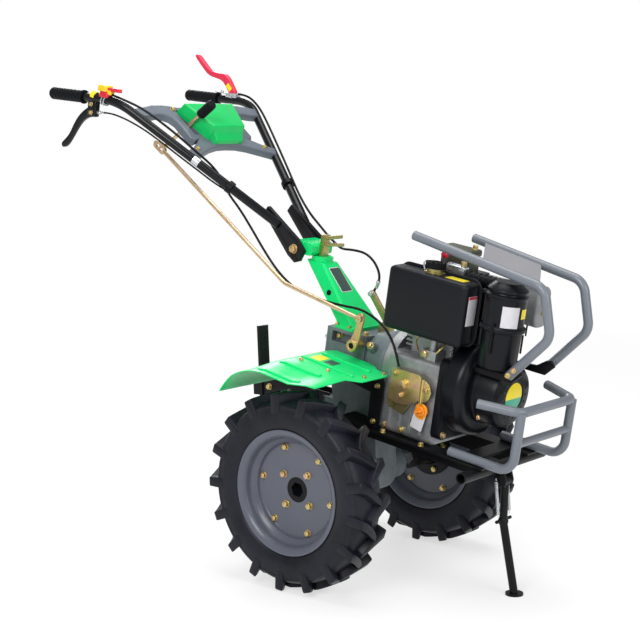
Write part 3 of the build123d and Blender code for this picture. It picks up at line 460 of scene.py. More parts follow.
class Shape:
    """One mesh on the modelling bench, in machine millimetres, shaped by operators."""

    def __init__(self, obj: bpy.types.Object) -> None:
        """Take an object whose place goes into its mesh."""
        self.obj = obj
        obj.data.transform(obj.matrix_world)
        obj.matrix_world = Matrix.Identity(4)

    @staticmethod
    def clear() -> None:
        """Leave edit mode and deselect everything."""
        if bpy.context.object and bpy.context.object.mode != "OBJECT":
            bpy.ops.object.mode_set(mode="OBJECT")
        bpy.ops.object.select_all(action="DESELECT")

    @classmethod
    def cube(cls, x: Sequence[float], y: Sequence[float], z: Sequence[float]) -> "Shape":
        """A box between two limits on each axis."""
        cls.clear()
        middle = [(a + b) / 2 for a, b in (x, y, z)]
        bpy.ops.mesh.primitive_cube_add(size=1.0, location=middle, scale=[abs(b - a) for a, b in (x, y, z)])
        return cls(bpy.context.object)

    @classmethod
    def cylinder(cls, radius: float, depth: float, sides: int = 32) -> "Shape":
        """A cylinder that stands on the origin along Z."""
        cls.clear()
        bpy.ops.mesh.primitive_cylinder_add(vertices=sides, radius=radius, depth=depth,
                                            location=(0, 0, depth / 2))
        return cls(bpy.context.object)

    @classmethod
    def turned(cls, profile: Sequence[tuple[float, float]], steps: int = 48,
               sweep: float = math.tau) -> "Shape":
        """A body turned about Z from (radius, height) points.

        Args:
            profile: The outline from one end of the axis to the other.
            steps: The number of facets round the axis.
            sweep: The angle turned through.

        Returns:
            The turned shape, closed at both ends.
        """
        cls.clear()
        bpy.ops.mesh.primitive_plane_add(size=1.0)
        shape = cls(bpy.context.object)
        shape.edit("VERT")
        bpy.ops.mesh.select_all(action="SELECT")
        bpy.ops.mesh.merge(type="CENTER")
        here = Vector((0, 0, 0))
        for number, (radius, height) in enumerate(profile):
            step = Vector((radius, 0, height)) - here
            if number:
                bpy.ops.mesh.extrude_region_move(TRANSFORM_OT_translate={"value": step})
            else:
                bpy.ops.transform.translate(value=step)
            here += step
        bpy.ops.mesh.select_all(action="SELECT")
        bpy.ops.mesh.spin(steps=steps, angle=sweep, center=(0, 0, 0), axis=(0, 0, 1))
        return shape.heal()

    @classmethod
    def from_node(cls, node: str) -> "Shape":
        """A merged copy of a carried-over node, flat faces whole again."""
        cls.clear()
        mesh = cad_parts[node].data.copy()
        obj = bpy.data.objects.new(node + "_copy", mesh)
        bpy.context.collection.objects.link(obj)
        mesh.transform(PARK.inverted())
        mesh.materials.clear()
        shape = cls(obj)
        shape.edit("VERT")
        bpy.ops.mesh.customdata_custom_splitnormals_clear()
        bpy.ops.mesh.select_all(action="SELECT")
        bpy.ops.mesh.remove_doubles(threshold=0.02)
        bpy.ops.mesh.dissolve_limited(angle_limit=math.radians(1.0))
        return shape

    @classmethod
    def from_curve(cls, curve: bpy.types.Curve, points: Sequence[Point], smooth: bool,
                   closed: bool) -> "Shape":
        """A mesh from a curve that gets one line of points.

        Args:
            curve: The curve, with its section set up.
            points: The line's corners or control points.
            smooth: Whether the line is a smooth curve.
            closed: Whether it runs back to its start.

        Returns:
            The swept or filled mesh.
        """
        cls.clear()
        spline = curve.splines.new("NURBS" if smooth else "POLY")
        spline.points.add(len(points) - 1)
        for place, point in zip(spline.points, points):
            place.co = (*point, 1.0)
        spline.use_cyclic_u = closed
        if smooth:
            spline.order_u = 3
            spline.use_endpoint_u = not closed
            spline.resolution_u = 6
        obj = bpy.data.objects.new(curve.name, curve)
        bpy.context.collection.objects.link(obj)
        obj.select_set(True)
        bpy.context.view_layer.objects.active = obj
        bpy.ops.object.convert(target="MESH")
        return cls(bpy.context.object)

    @classmethod
    def pipe(cls, points: Sequence[Point], radius: float, sides: int = 3) -> "Shape":
        """A round bar along a smooth line.

        Args:
            points: The line's control points.
            radius: The bar's radius.
            sides: Resolution of the round section.

        Returns:
            The bar as a mesh.
        """
        curve = bpy.data.curves.new("pipe", "CURVE")
        curve.dimensions = "3D"
        curve.bevel_depth = radius
        curve.bevel_resolution = sides
        curve.use_fill_caps = True
        return cls.from_curve(curve, points, True, False)

    @classmethod
    def plate(cls, outline: Sequence[tuple[float, float]], thickness: float, soften: float = 0.8,
              smooth: bool = False) -> "Shape":
        """A flat plate in X and Y about Z 0, with softened edges.

        Args:
            outline: Its corners, or the control points of its curve.
            thickness: The whole thickness.
            soften: The radius of the edges.
            smooth: Whether the outline is one smooth curve.

        Returns:
            The plate as a mesh.
        """
        curve = bpy.data.curves.new("plate", "CURVE")
        curve.dimensions = "2D"
        curve.fill_mode = "BOTH"
        curve.extrude = thickness / 2 - soften
        curve.bevel_depth = soften
        curve.bevel_resolution = 2
        curve.offset = -soften
        return cls.from_curve(curve, [(x, y, 0.0) for x, y in outline], smooth, True).heal()

    @classmethod
    def upright(cls, outline: Sequence[tuple[float, float]], y: float, thickness: float,
                soften: float = 0.8, smooth: bool = False) -> "Shape":
        """A plate that stands in the machine's X and Z at a sideways place."""
        return cls.plate(outline, thickness, soften, smooth).place(aim((0, y, 0), RIGHTWARD))

    def activate(self) -> "Shape":
        """Select this shape alone, in object mode."""
        self.clear()
        self.obj.select_set(True)
        bpy.context.view_layer.objects.active = self.obj
        return self

    def edit(self, kind: str) -> "Shape":
        """Enter edit mode with one kind of element."""
        self.activate()
        bpy.ops.object.mode_set(mode="EDIT")
        bpy.ops.mesh.select_mode(type=kind)
        return self

    def pick(self, test: Callable[[Vector, Vector], bool]) -> "Shape":
        """Select the faces whose centre and normal pass a test."""
        self.edit("FACE")
        bpy.ops.mesh.select_all(action="DESELECT")
        mesh = bmesh.from_edit_mesh(self.obj.data)
        for face in mesh.faces:
            face.select_set(test(face.calc_center_median(), face.normal))
        bmesh.update_edit_mesh(self.obj.data)
        return self

    def extrude(self, move: Point) -> "Shape":
        """Extrude the selected faces along a move."""
        bpy.ops.mesh.extrude_region_move(TRANSFORM_OT_translate={"value": move})
        return self

    def inset(self, width: float, depth: float = 0.0) -> "Shape":
        """Inset the selected faces, and sink or raise them."""
        bpy.ops.mesh.inset(thickness=width, depth=depth)
        return self

    def widen(self, factors: Point) -> "Shape":
        """Scale the selected faces about their middle."""
        bpy.ops.transform.resize(value=factors)
        return self

    def cut(self, point: Point, normal: Point) -> "Shape":
        """Cut edges into all faces along a plane."""
        self.edit("FACE")
        bpy.ops.mesh.select_all(action="SELECT")
        bpy.ops.mesh.bisect(plane_co=point, plane_no=normal)
        return self

    def warp(self, rule: Callable[[Vector], Vector]) -> "Shape":
        """Move every point to where a rule puts it."""
        self.clear()
        for vertex in self.obj.data.vertices:
            vertex.co = rule(vertex.co)
        return self

    def heal(self) -> "Shape":
        """Merge doubles and turn the faces outwards."""
        self.edit("VERT")
        bpy.ops.mesh.select_all(action="SELECT")
        bpy.ops.mesh.remove_doubles(threshold=0.01)
        bpy.ops.mesh.normals_make_consistent(inside=False)
        bpy.ops.object.mode_set(mode="OBJECT")
        return self

    def modifier(self, kind: str, **settings: Any) -> "Shape":
        """Add a modifier with its settings and apply it."""
        self.activate()
        bpy.ops.object.modifier_add(type=kind)
        added = self.obj.modifiers[-1]
        for key, value in settings.items():
            setattr(added, key, value)
        bpy.ops.object.modifier_apply(modifier=added.name)
        return self

    def bevel(self, width: float, segments: int = 2, angle: float = 35.0) -> "Shape":
        """Round the edges that are sharper than an angle."""
        return self.modifier("BEVEL", width=width, segments=segments, limit_method="ANGLE",
                             angle_limit=math.radians(angle), use_clamp_overlap=True, harden_normals=False)

    def place(self, matrix: Matrix) -> "Shape":
        """Move the mesh by a matrix."""
        self.clear()
        self.obj.data.transform(matrix)
        return self

    def copy(self, matrix: Matrix) -> "Shape":
        """A copy with its own mesh, moved by a matrix."""
        self.clear()
        made = self.obj.copy()
        made.data = self.obj.data.copy()
        bpy.context.collection.objects.link(made)
        return Shape(made).place(matrix)

    def remove(self) -> None:
        """Take the shape off the bench."""
        self.clear()
        bpy.data.objects.remove(self.obj)

    def join(self, others: Iterable["Shape"]) -> "Shape":
        """Make this and the other shapes one piece."""
        others = list(others)
        self.activate()
        for other in others:
            other.obj.select_set(True)
        if others:
            bpy.ops.object.join()
        return self

    @staticmethod
    def merge(shapes: Sequence["Shape"]) -> "Shape":
        """Several shapes as one piece."""
        return shapes[0].join(shapes[1:])

    def settle(self, name: str, finish: Finish, body: Body, slot: str, *nodes: str,
               angle: float = 35.0) -> bpy.types.Object:
        """Put the shape in the part's frame, dress it and let it ride.

        Args:
            name: The piece's name.
            finish: Its finish.
            body: The body that carries it.
            slot: The record's material slot; not used.
            *nodes: Carried-over nodes that it stands for.
            angle: The angle over which an edge stays sharp.

        Returns:
            The finished piece.
        """
        self.dress(name, finish, slot, *nodes, angle=angle)
        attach(self.obj, body.value)
        return self.obj

    def dress(self, name: str, finish: Finish, slot: str, *nodes: str,
              angle: float = 35.0) -> bpy.types.Object:
        """Put the shape in the part's frame and dress it, with no body yet."""
        self.activate()
        self.obj.data.transform(PARK)
        bpy.ops.object.shade_smooth_by_angle(angle=math.radians(angle))
        self.obj.name = name
        self.obj.data.name = name
        self.obj.data.materials.clear()
        self.obj.data.materials.append(finish.material())
        if nodes:
            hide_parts(*nodes)
        LOG.info("%s: %d faces", name, len(self.obj.data.polygons))
        return self.obj


def aim(point: Point, direction: Point, spin: float = 0.0) -> Matrix:
    """A matrix that puts Z along a direction at a point.

    Args:
        point: Where the origin goes.
        direction: Where Z points.
        spin: A turn about the direction in degrees.

    Returns:
        The placing matrix.
    """
    turn = Vector(direction).to_track_quat("Z", "Y").to_matrix().to_4x4()
    return Matrix.Translation(point) @ turn @ Matrix.Rotation(math.radians(spin), 4, "Z")


@dataclass
class Studio:
    """Camera at the photograph's angle, pale floor and soft lamps."""

    eye: Point = (2.510, -3.314, 1.262)
    yaw: float = 39.03
    pitch: float = 7.78
    lens: float = 84.31
    floor_radius: float = 40.0
    floor_colour: Colour = (0.86, 0.86, 0.86)
    # Share of plain white in the floor near the object, and the distances over which it fades to all white.
    floor_glow: float = 0.62
    floor_fade: tuple[float, float] = (1.2, 5.0)

    def build(self) -> None:
        """Make the camera, the floor, the lamps and the sky."""
        self.make_camera()
        self.make_floor()
        self.make_lamps()
        self.make_sky()

    def make_camera(self) -> None:
        """Set the camera, measured from the ground under the axle."""
        data = bpy.data.cameras.new("camera")
        data.lens = self.lens
        data.sensor_width = 36.0
        camera = bpy.data.objects.new("camera", data)
        bpy.context.collection.objects.link(camera)
        ground = axle_middle()
        camera.location = Vector(self.eye) + Vector((ground.x, ground.y, 0.0))
        camera.rotation_euler = (math.radians(90.0 - self.pitch), 0.0, math.radians(self.yaw))
        bpy.context.scene.camera = camera

    def make_floor(self) -> None:
        """Lay a pale floor that the camera sees near white, with the shadows kept."""
        Shape.clear()
        bpy.ops.mesh.primitive_circle_add(vertices=96, radius=self.floor_radius, fill_type="NGON")
        floor = bpy.context.object
        floor.name = "floor"
        graph = Graph("floor_paper")
        graph.feed(Base_Color=self.floor_colour, Roughness=0.9)
        path = graph.tree.nodes.new("ShaderNodeLightPath")
        seen = [Signal(graph, path.outputs[key]) for key in
                ("Is Camera Ray", "Is Glossy Ray", "Is Transmission Ray")]
        glow = graph.node("ShaderNodeEmission", {}, {"Color": (1.0, 1.0, 1.0, 1.0), "Strength": 1.0})
        paper = Signal(graph, graph.shader.outputs["BSDF"])
        away = graph.node("ShaderNodeVectorMath", {"operation": "LENGTH"}, {0: graph.place}, "Value")
        share = self.floor_glow + graph.window(away, *self.floor_fade) * (1.0 - self.floor_glow)
        camera_side = seen[0] + seen[1] + seen[2]
        both = graph.node("ShaderNodeMixShader", {}, {0: camera_side * share, 1: paper, 2: glow})
        graph.tree.links.new(both.socket, graph.tree.nodes["Material Output"].inputs["Surface"])
        floor.data.materials.append(graph.material)

    @staticmethod
    def make_lamps() -> None:
        """Hang soft lamps: a key over the camera's left, a fill, a top light and a rim light."""
        lamps = (
            ("key", (1.2, -4.2, 3.2), 2.6, 150.0),
            ("fill", (4.4, -0.6, 2.2), 2.6, 70.0),
            ("top", (0.2, 0.2, 4.4), 3.2, 110.0),
            ("rear", (-3.4, 2.6, 2.8), 2.4, 80.0),
        )
        target = Vector((0.1, 0.0, 0.6))
        for name, place, size, power in lamps:
            data = bpy.data.lights.new(name, "AREA")
            data.shape = "DISK"
            data.size = size
            data.energy = power
            lamp = bpy.data.objects.new(name, data)
            bpy.context.collection.objects.link(lamp)
            lamp.location = place
            lamp.rotation_euler = (Vector(place) - target).to_track_quat("Z", "Y").to_euler()

    @staticmethod
    def make_sky() -> None:
        """Light the scene evenly, with white behind the object."""
        world = bpy.data.worlds.new("studio")
        bpy.context.scene.world = world
        world.use_nodes = True
        nodes, links = world.node_tree.nodes, world.node_tree.links
        nodes["Background"].inputs["Color"].default_value = (1.0, 1.0, 1.0, 1.0)
        path = nodes.new("ShaderNodeLightPath")
        level = nodes.new("ShaderNodeMapRange")
        links.new(path.outputs["Is Camera Ray"], level.inputs["Value"])
        level.inputs["To Min"].default_value = 0.45
        level.inputs["To Max"].default_value = 1.0
        links.new(level.outputs["Result"], nodes["Background"].inputs["Strength"])
        bpy.context.scene.view_settings.view_transform = "Standard"


@dataclass
class Cables:
    """The two control cables, which run between the chassis and the handlebar."""

    radius: float = 3.5
    clutch: tuple[Point, ...] = (
        (-904.5, 289, 930), (-872, 289, 931), (-836, 288, 920), (-777, 264, 896), (-709, 233, 854),
        (-641, 199, 812), (-574, 166, 770), (-506, 131, 727), (-446, 100, 691), (-385, 76, 657),
        (-331, 66, 629), (-290, 58, 608), (-252, 49, 594), (-218, 33, 588), (-177, 30, 595),
        (-130, 30, 596), (-95, 30, 578), (-72, 30, 548), (-72, 30, 520), (-83.9, 30, 497.6),
    )
    throttle: tuple[Point, ...] = (
        (-875.4, -289, 926), (-840, -288, 922), (-774, -258, 902), (-722, -233, 872), (-672, -206, 839),
        (-624, -178, 802), (-587, -143, 767), (-562, -122, 731), (-538, -116, 693), (-492, -110, 656),
        (-440, -106, 606), (-390, -105, 558), (-335, -104, 512), (-275, -102, 478), (-205, -100, 464),
        (-140, -100, 464), (-86, -100, 466), (-31, -100, 471), (10, -101, 464), (47, -105, 452),
        (76, -110, 438), (104, -114, 412), (124, -119, 384), (140, -124, 356.3),
    )

    def build(self) -> None:
        """Sweep both cables along their routes."""
        spans = {
            "clutch_cable": (self.clutch, self.clutch[14], self.clutch[9]),
            "throttle_cable": (self.throttle, self.throttle[14], self.throttle[9]),
        }
        for node, (route, low, high) in spans.items():
            sheath = Shape.pipe(route, self.radius, 4)
            cable = sheath.dress(node + "_sheath", CABLE_BLACK, "black_plastic", node)
            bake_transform(cable)


@dataclass(frozen=True)
class Bolt:
    """A hexagon bolt head on its washer, along Z from the face that it clamps."""

    across: float = 16.0
    height: float = 8.0
    washer: float = 1.8
    spin_step: float = 17.0

    def model(self) -> Shape:
        """Model one bolt head."""
        washer = Shape.cylinder(self.across * 0.68, self.washer, 24).bevel(0.4, 1)
        head = Shape.cylinder(self.across / math.sqrt(3.0), self.height, 6)
        head.pick(lambda centre, normal: normal.z > 0.9).inset(self.across * 0.1).extrude((0, 0, 0.5))
        head.bevel(self.across * 0.035, 2)
        return head.place(Matrix.Translation((0, 0, self.washer))).join([washer])

    def row(self, name: str, places: Iterable[Place], body: Body,
            finish: Finish = ZINC_GOLD) -> bpy.types.Object:
        """Copy the bolt to every place as one piece.

        Args:
            name: The piece's name.
            places: A point and an outward direction for each bolt.
            body: The body that carries them.
            finish: Their plating.

        Returns:
            The finished piece.
        """
        model = self.model()
        copies = [model.copy(aim(point, out, self.spin_step * number))
                  for number, (point, out) in enumerate(places)]
        model.remove()
        return Shape.merge(copies).settle(name, finish, body, "zinc_gold")


def places_facing(out: Point, points: Iterable[Point]) -> list[Place]:
    """Places for bolts that all point one way."""
    return [(point, out) for point in points]


def both_sides(places: Iterable[Place]) -> list[Place]:
    """The same places on the right and on the left of the machine."""
    found = []
    for (x, y, z), (dx, dy, dz) in places:
        found += [((x, y, z), (dx, dy, dz)), ((x, -y, z), (dx, -dy, dz))]
    return found


def arc_outline(width: float, height: float, corner: float, steps: int = 5) -> list[tuple[float, float]]:
    """A rectangle with rounded corners about the origin."""
    points = []
    for turn, (sx, sy) in enumerate(((1, 1), (-1, 1), (-1, -1), (1, -1))):
        for step in range(steps + 1):
            angle = math.radians(90.0 * (turn + step / steps))
            points.append((sx * (width / 2 - corner) + corner * math.cos(angle),
                           sy * (height / 2 - corner) + corner * math.sin(angle)))
    return points


@dataclass(frozen=True)
class Sticker:
    """A blank sticker on a flat face, with an optional band and border."""

    name: str
    width: float
    height: float
    colour: Finish
    body: Body = Body.CHASSIS
    corner: float = 3.0
    thickness: float = 0.7
    band: Finish | None = None
    band_share: float = 0.0
    border: Finish | None = None
    border_width: float = 2.0

    def stick(self, matrix: Matrix) -> None:
        """Lay the sticker at a place.

        Args:
            matrix: Puts the sticker's X, Y and outward Z in the machine.
        """
        lift, step = self.thickness / 2, self.thickness * 0.6
        if self.border:
            edge = self.border_width
            rim = arc_outline(self.width + 2 * edge, self.height + 2 * edge, self.corner + edge)
            self.lay(rim, matrix @ Matrix.Translation((0, 0, lift)), "_border", self.border)
            lift += step
        sheet = arc_outline(self.width, self.height, self.corner)
        self.lay(sheet, matrix @ Matrix.Translation((0, 0, lift)), "", self.colour)
        if self.band:
            tall = self.height * self.band_share
            strip = arc_outline(self.width - 1.0, tall, 1.0)
            up = (self.height - tall) / 2 - 0.5
            self.lay(strip, matrix @ Matrix.Translation((0, up, lift + step)), "_band", self.band)

    def lay(self, outline: Sequence[tuple[float, float]], place: Matrix, suffix: str, finish: Finish) -> None:
        """Lay one film of the sticker."""
        film = Shape.plate(outline, self.thickness, 0.2).place(place)
        film.settle(self.name + suffix, finish, self.body, "black_plastic")


@dataclass
class Wheel:
    """One drive wheel's dressing: lugged tyre, rolled rim, wheel bolts and nuts."""

    side: Side
    track: float = 630.0
    radius: float = 269.2
    crown_drop: float = 2.0
    half_width: float = 59.0
    lugs: int = 17
    lug_reach: float = 76.0
    lug_height: float = 22.0
    lug_half: float = 12.5
    lug_flare: float = 1.4
    lug_sweep: float = 54.0
    lug_cuts: tuple[float, ...] = (0.08, 0.18, 0.32, 0.48, 0.64, 0.8, 0.92)
    nose_start: float = 0.75
    nose_taper: float = 0.4
    foot_reach: float = 15.0
    foot_drop: float = 30.0
    floor_radius: float = 243.0
    disc_thickness: float = 6.0
    disc_edge: float = 130.0
    flange_thickness: float = 8.0
    # Sidewall from the bead to the crown: (radius, offset) pairs of one half.
    sidewall: Outline = (
        (152.3, 41.7), (169.8, 45.7), (174.0, 50.0), (177.0, 52.6), (181.0, 52.9), (184.0, 54.6),
        (196.0, 57.2), (210.0, 58.4), (222.0, 57.6), (231.0, 55.4), (234.0, 56.4), (237.0, 54.8),
        (243.0, 47.0), (247.0, 33.0), (249.0, 14.0),
    )
    # Outer half of the rolled rim, from the disc out to its lip: (radius, offset) pairs.
    rim_face: Outline = (
        (34.3, 0.0), (124.0, 0.0), (128.0, 1.5), (130.3, 6.0), (131.0, 11.0), (134.0, 14.5), (139.5, 17.5),
        (144.5, 21.0), (147.0, 26.0), (147.8, 33.0), (149.5, 39.0), (153.0, 43.5), (158.0, 47.0),
        (163.5, 49.6), (167.0, 50.8), (169.4, 50.4), (170.3, 48.6), (169.3, 46.4),
    )
    rim_back: Outline = ((152.0, 42.0), (152.0, 24.0), (134.0, 14.0))
    # How many points of the face belong to the disc, and have no twin inboard.
    disc_points: int = 4
    # Bolt circles: radius, count, first angle, width across flats.
    circles: tuple[tuple[float, int, float, float], ...] = ((119.0, 6, 58.0, 14.0), (58.0, 4, 59.0, 15.0))

    @property
    def body(self) -> Body:
        """The wheel's body."""
        return Body(self.side.word + "_wheel")

    @property
    def outward(self) -> Matrix:
        """Puts the wheel's own Z along the axle, outwards."""
        sign = self.side.value
        return aim((0, sign * self.track / 2, 0), (0, sign, 0))

    def build(self) -> None:
        """Model the tyre and the rim and set the bolts."""
        self.make_tyre()
        self.make_rim()
        self.make_bolts()

    def lug_point(self, flat: Vector) -> Vector:
        """Where a point of the flat lug lies on the tyre.

        Args:
            flat: Distance in from the shoulder, distance along the tread and height.

        Returns:
            The point about the wheel's own axis.
        """
        share = flat.x / self.lug_reach
        foot = max(0.0, 1.0 - flat.x / self.foot_reach)
        nose = 1.0 - self.nose_taper * max(0.0, (share - self.nose_start) / (1.0 - self.nose_start))
        floor = self.floor_radius - self.foot_drop * foot
        crown = self.radius - self.crown_drop * max(0.0, 1.0 - share / 0.3) ** 2
        radius = floor + (crown - floor) * flat.z / self.lug_height
        arc = self.lug_sweep * share ** 1.4 + flat.y * nose
        angle = self.side.value * arc / self.radius
        return Vector((radius * math.cos(angle), radius * math.sin(angle), self.half_width - flat.x))

    def make_lug(self) -> Shape:
        """One lug, modelled flat, bevelled and wrapped onto the tyre."""
        lug = Shape.cube((0, self.lug_reach), (-self.lug_half, self.lug_half), (0, self.lug_height))
        lug.pick(lambda centre, normal: normal.z < -0.9).widen((1.0, self.lug_flare, 1.0))
        for station in self.lug_cuts:
            lug.cut((station * self.lug_reach, 0, 0), FORWARD)
        return lug.bevel(2.4, 2, 50.0).warp(self.lug_point)

    def make_tyre(self) -> None:
        """Turn the carcass and repeat the lugs round both shoulders."""
        low = [(radius, -offset) for radius, offset in self.sidewall]
        high = [(radius, offset) for radius, offset in reversed(self.sidewall)]
        carcass = Shape.turned(low + high + low[:1], 96)
        outer = self.make_lug()
        pitch = math.tau / self.lugs
        inner = outer.copy(Matrix.Rotation(pitch / 2, 4, "Z") @ Matrix.Scale(-1.0, 4, (0, 0, 1)))
        for lug in (outer, inner):
            lug.edit("VERT")
            bpy.ops.mesh.select_all(action="SELECT")
            bpy.ops.mesh.spin(steps=self.lugs, dupli=True, angle=math.tau, center=(0, 0, 0), axis=(0, 0, 1))
            lug.heal()
        carcass.join([outer, inner]).place(self.outward)
        word = self.side.word
        carcass.settle(word + "_lugged_tyre", TYRE_RUBBER, self.body, "tyre_rubber", word + "_tyre",
                       angle=40.0)

    def make_rim(self) -> None:
        """Turn the rolled rim with the disc inside it."""
        face, back = list(self.rim_face), list(self.rim_back)
        inboard = [(radius, -offset) for radius, offset in reversed(face[self.disc_points:] + back)]
        disc_back = [(radius, -self.disc_thickness) for radius in (self.disc_edge, face[0][0])]
        rim = Shape.turned(face + back + inboard + disc_back + face[:1], 96).place(self.outward)
        word = self.side.word
        rim.settle(word + "_rolled_rim", RIM_GREY, self.body, "grey_paint", word + "_rim", angle=50.0)

    def make_bolts(self) -> None:
        """Set bolt heads outside the disc and nuts inside it."""
        for number, (radius, count, first, across) in enumerate(self.circles):
            inside = self.disc_thickness + (self.flange_thickness if number else 0.0)
            places = []
            for index in range(count):
                angle = math.radians(first + 360.0 * index / count)
                spot = (radius * math.cos(angle), radius * math.sin(angle))
                for depth, way in ((0.0, 1.0), (-inside, -1.0)):
                    point = self.outward @ Vector((*spot, depth))
                    places.append((tuple(point), (0.0, self.side.value * way, 0.0)))
            name = f"{self.side.word}_wheel_bolts_{number + 1}"
            Bolt(across, across * 0.6, 1.2).row(name, places, self.body)


@dataclass
class Handlebar:
    """Grips, console, levers and clips on the tilting handlebar."""

    tilt: Point = (-318.0, 0.0, 574.0)
    angle: float = 31.2
    tube_n: float = 14.0
    tube_radius: float = 13.0
    tube_start: tuple[float, float] = (85.0, 60.0)
    tube_bend: tuple[float, float] = (629.0, 287.0)
    grip_end: Point = (851.0, 290.0, -141.0)
    grip_length: float = 140.0
    grip_ribs: int = 8
    face_n: float = 27.0
    console_thickness: float = 26.0
    # Cover from its lower lip upwards: foot and top at each station, as (s, half width, height off the face).
    cover_stations: tuple[tuple[Point, Point], ...] = (
        ((419.0, 62.0, -20.0), (419.0, 58.0, 12.0)),
        ((436.0, 64.0, -20.0), (438.0, 61.0, 28.0)),
        ((442.0, 76.0, -4.0), (449.0, 68.0, 45.0)),
        ((568.0, 104.0, -4.0), (556.0, 104.0, 42.0)),
    )
    # Right half of the console in the handlebar's frame, from its upper middle round to its lower middle.
    console_outline: Outline = (
        (588.0, 0.0), (588.0, 84.0), (596.0, 118.0), (599.0, 150.0), (598.0, 185.0), (592.0, 214.0),
        (582.0, 262.0), (546.0, 250.0), (550.0, 214.0), (556.0, 186.0), (554.0, 162.0), (543.0, 142.0),
        (524.0, 132.0), (490.0, 133.0), (452.0, 133.0), (440.0, 122.0), (446.0, 104.0), (432.0, 122.0),
        (412.0, 152.0), (396.0, 194.0), (366.0, 178.0), (386.0, 128.0), (404.0, 82.0), (414.0, 42.0),
        (416.0, 0.0),
    )
    console_bolts: Outline = ((576.0, 112.0), (400.0, 146.0))
    slot: Outline = ((464.0, 572.0), (88.0, 106.0))
    strap_s: float = 248.0
    tape_s: float = 362.0
    lever_y: float = 289.0
    # Right hand lever's blade and clutch lever's handle, in the machine's X and Z.
    blade: Outline = (
        (-930, 880), (-950, 882), (-974, 870), (-1000, 846), (-1018, 818), (-1032, 788), (-1050, 768),
        (-1066, 754), (-1058, 740), (-1040, 750), (-1022, 776), (-1004, 806), (-984, 832), (-958, 848),
        (-930, 852),
    )
    clutch_handle: Outline = (
        (-908, 930), (-926, 950), (-946, 974), (-966, 986), (-996, 984), (-1030, 986), (-1062, 1010),
        (-1094, 1034), (-1106, 1024), (-1068, 994), (-1036, 970), (-996, 966), (-972, 962), (-950, 940),
        (-936, 920),
    )
    # Route of the right hand lever's cable, from its ferrule to the strap.
    lever_cable: tuple[Point, ...] = (
        (-898, -289, 870), (-880, -289, 872), (-850, -287, 871), (-812, -274, 862), (-764, -252, 842),
        (-716, -230, 815), (-660, -202, 780), (-606, -174, 747), (-560, -150, 718), (-532, -132, 704),
    )

    @property
    def bar(self) -> Matrix:
        """The handlebar's own frame: X up the tubes, Y to the right, Z off the tubes."""
        turn = math.radians(self.angle)
        rows = ((-math.cos(turn), 0, math.sin(turn)), (0, -1, 0), (math.sin(turn), 0, math.cos(turn)))
        return Matrix.Translation(self.tilt) @ Matrix(rows).transposed().to_4x4()

    def tube_y(self, s: float) -> float:
        """Sideways place of a tube at a distance up from the tilt pin."""
        (start_s, start_y), (bend_s, bend_y) = self.tube_start, self.tube_bend
        return start_y + (s - start_s) / (bend_s - start_s) * (bend_y - start_y)

    def build(self) -> None:
        """Model every piece of the handlebar."""
        for side in Side:
            self.make_grip(side)
            self.make_tube(side)
        self.make_console()
        self.make_knob()
        self.make_right_lever()
        self.make_throttle()
        self.make_clutch_lever()
        self.make_clips()

    def make_grip(self, side: Side) -> None:
        """Turn a ribbed grip and slide it on the tube's end."""
        length = self.grip_length
        pitch = (length - 26.0) / self.grip_ribs
        profile = [(0.0, 0.0), (19.5, 0.0), (20.5, 2.0), (20.5, 5.0), (18.0, 8.0)]
        for rib in range(self.grip_ribs):
            start = 9.0 + rib * pitch
            profile += [(16.2, start), (16.2, start + 2.0), (17.8, start + 3.4), (18.2, start + pitch / 2),
                        (17.8, start + pitch - 1.6)]
        profile += [(16.4, length - 15.0), (18.0, length - 13.0), (18.4, length - 6.0),
                    (16.0, length - 1.4), (11.0, length), (0.0, length + 0.6)]
        grip = Shape.turned(profile, 40)
        end = Vector(self.grip_end)
        run = Vector((end.x - self.tube_bend[0], 3.0, end.z - self.tube_n)).normalized()
        mouth = end - run * (length - 6.0)
        if side is Side.LEFT:
            mouth.y, run.y = -mouth.y, -run.y
        grip.place(self.bar @ aim(tuple(mouth), tuple(run)))
        word = side.word
        grip.settle(word + "_ribbed_grip", GRIP_RUBBER, Body.HANDLEBAR, "grip_rubber", word + "_grip")

    @staticmethod
    def make_tube(side: Side) -> None:
        """Round the edges of the forged ear on a handle tube."""
        word = side.word
        tube = Shape.from_node(word + "_handle").bevel(3.5, 3, 50.0)
        tube.settle(word + "_handle_tube", BLACK_SATIN, Body.HANDLEBAR, "black_paint", word + "_handle",
                    angle=40.0)

    def make_console(self) -> None:
        """Model the moulded frame with its four arms, the slot and the raised cover."""
        right = list(self.console_outline)
        mirrored = [(s, -y) for s, y in reversed(right)]
        shell = Shape.plate(right + mirrored, self.console_thickness, 5.0)
        shell.place(Matrix.Translation((0, 0, self.tube_n)))
        (low_s, high_s), (low_y, high_y) = self.slot
        cutter = Shape.cube((low_s, high_s), (low_y, high_y), (-40, 80)).bevel(6.0, 3, 60.0)
        shell.modifier("BOOLEAN", operation="DIFFERENCE", object=cutter.obj, solver="EXACT")
        cutter.remove()
        shell.place(self.bar)
        shell.settle("console_shell", CONSOLE_GREY, Body.HANDLEBAR, "grey_plastic", "console_frame",
                     angle=40.0)
        self.make_cover()
        up = tuple(self.bar.to_3x3() @ Vector(UPWARD))
        spots = [tuple(self.bar @ Vector((s, way * y, self.face_n)))
                 for s, y in self.console_bolts for way in (1, -1)]
        Bolt(11.0, 5.0, 1.4).row("console_bolts", places_facing(up, spots), Body.HANDLEBAR)

    def make_cover(self) -> None:
        """Model the raised green cover: a wedge with a crease, and a lower lip."""
        cover = Shape.cube((0, 3), (-1, 1), (0, 1))
        for station in (1, 2):
            cover.cut((station, 0, 0), FORWARD)

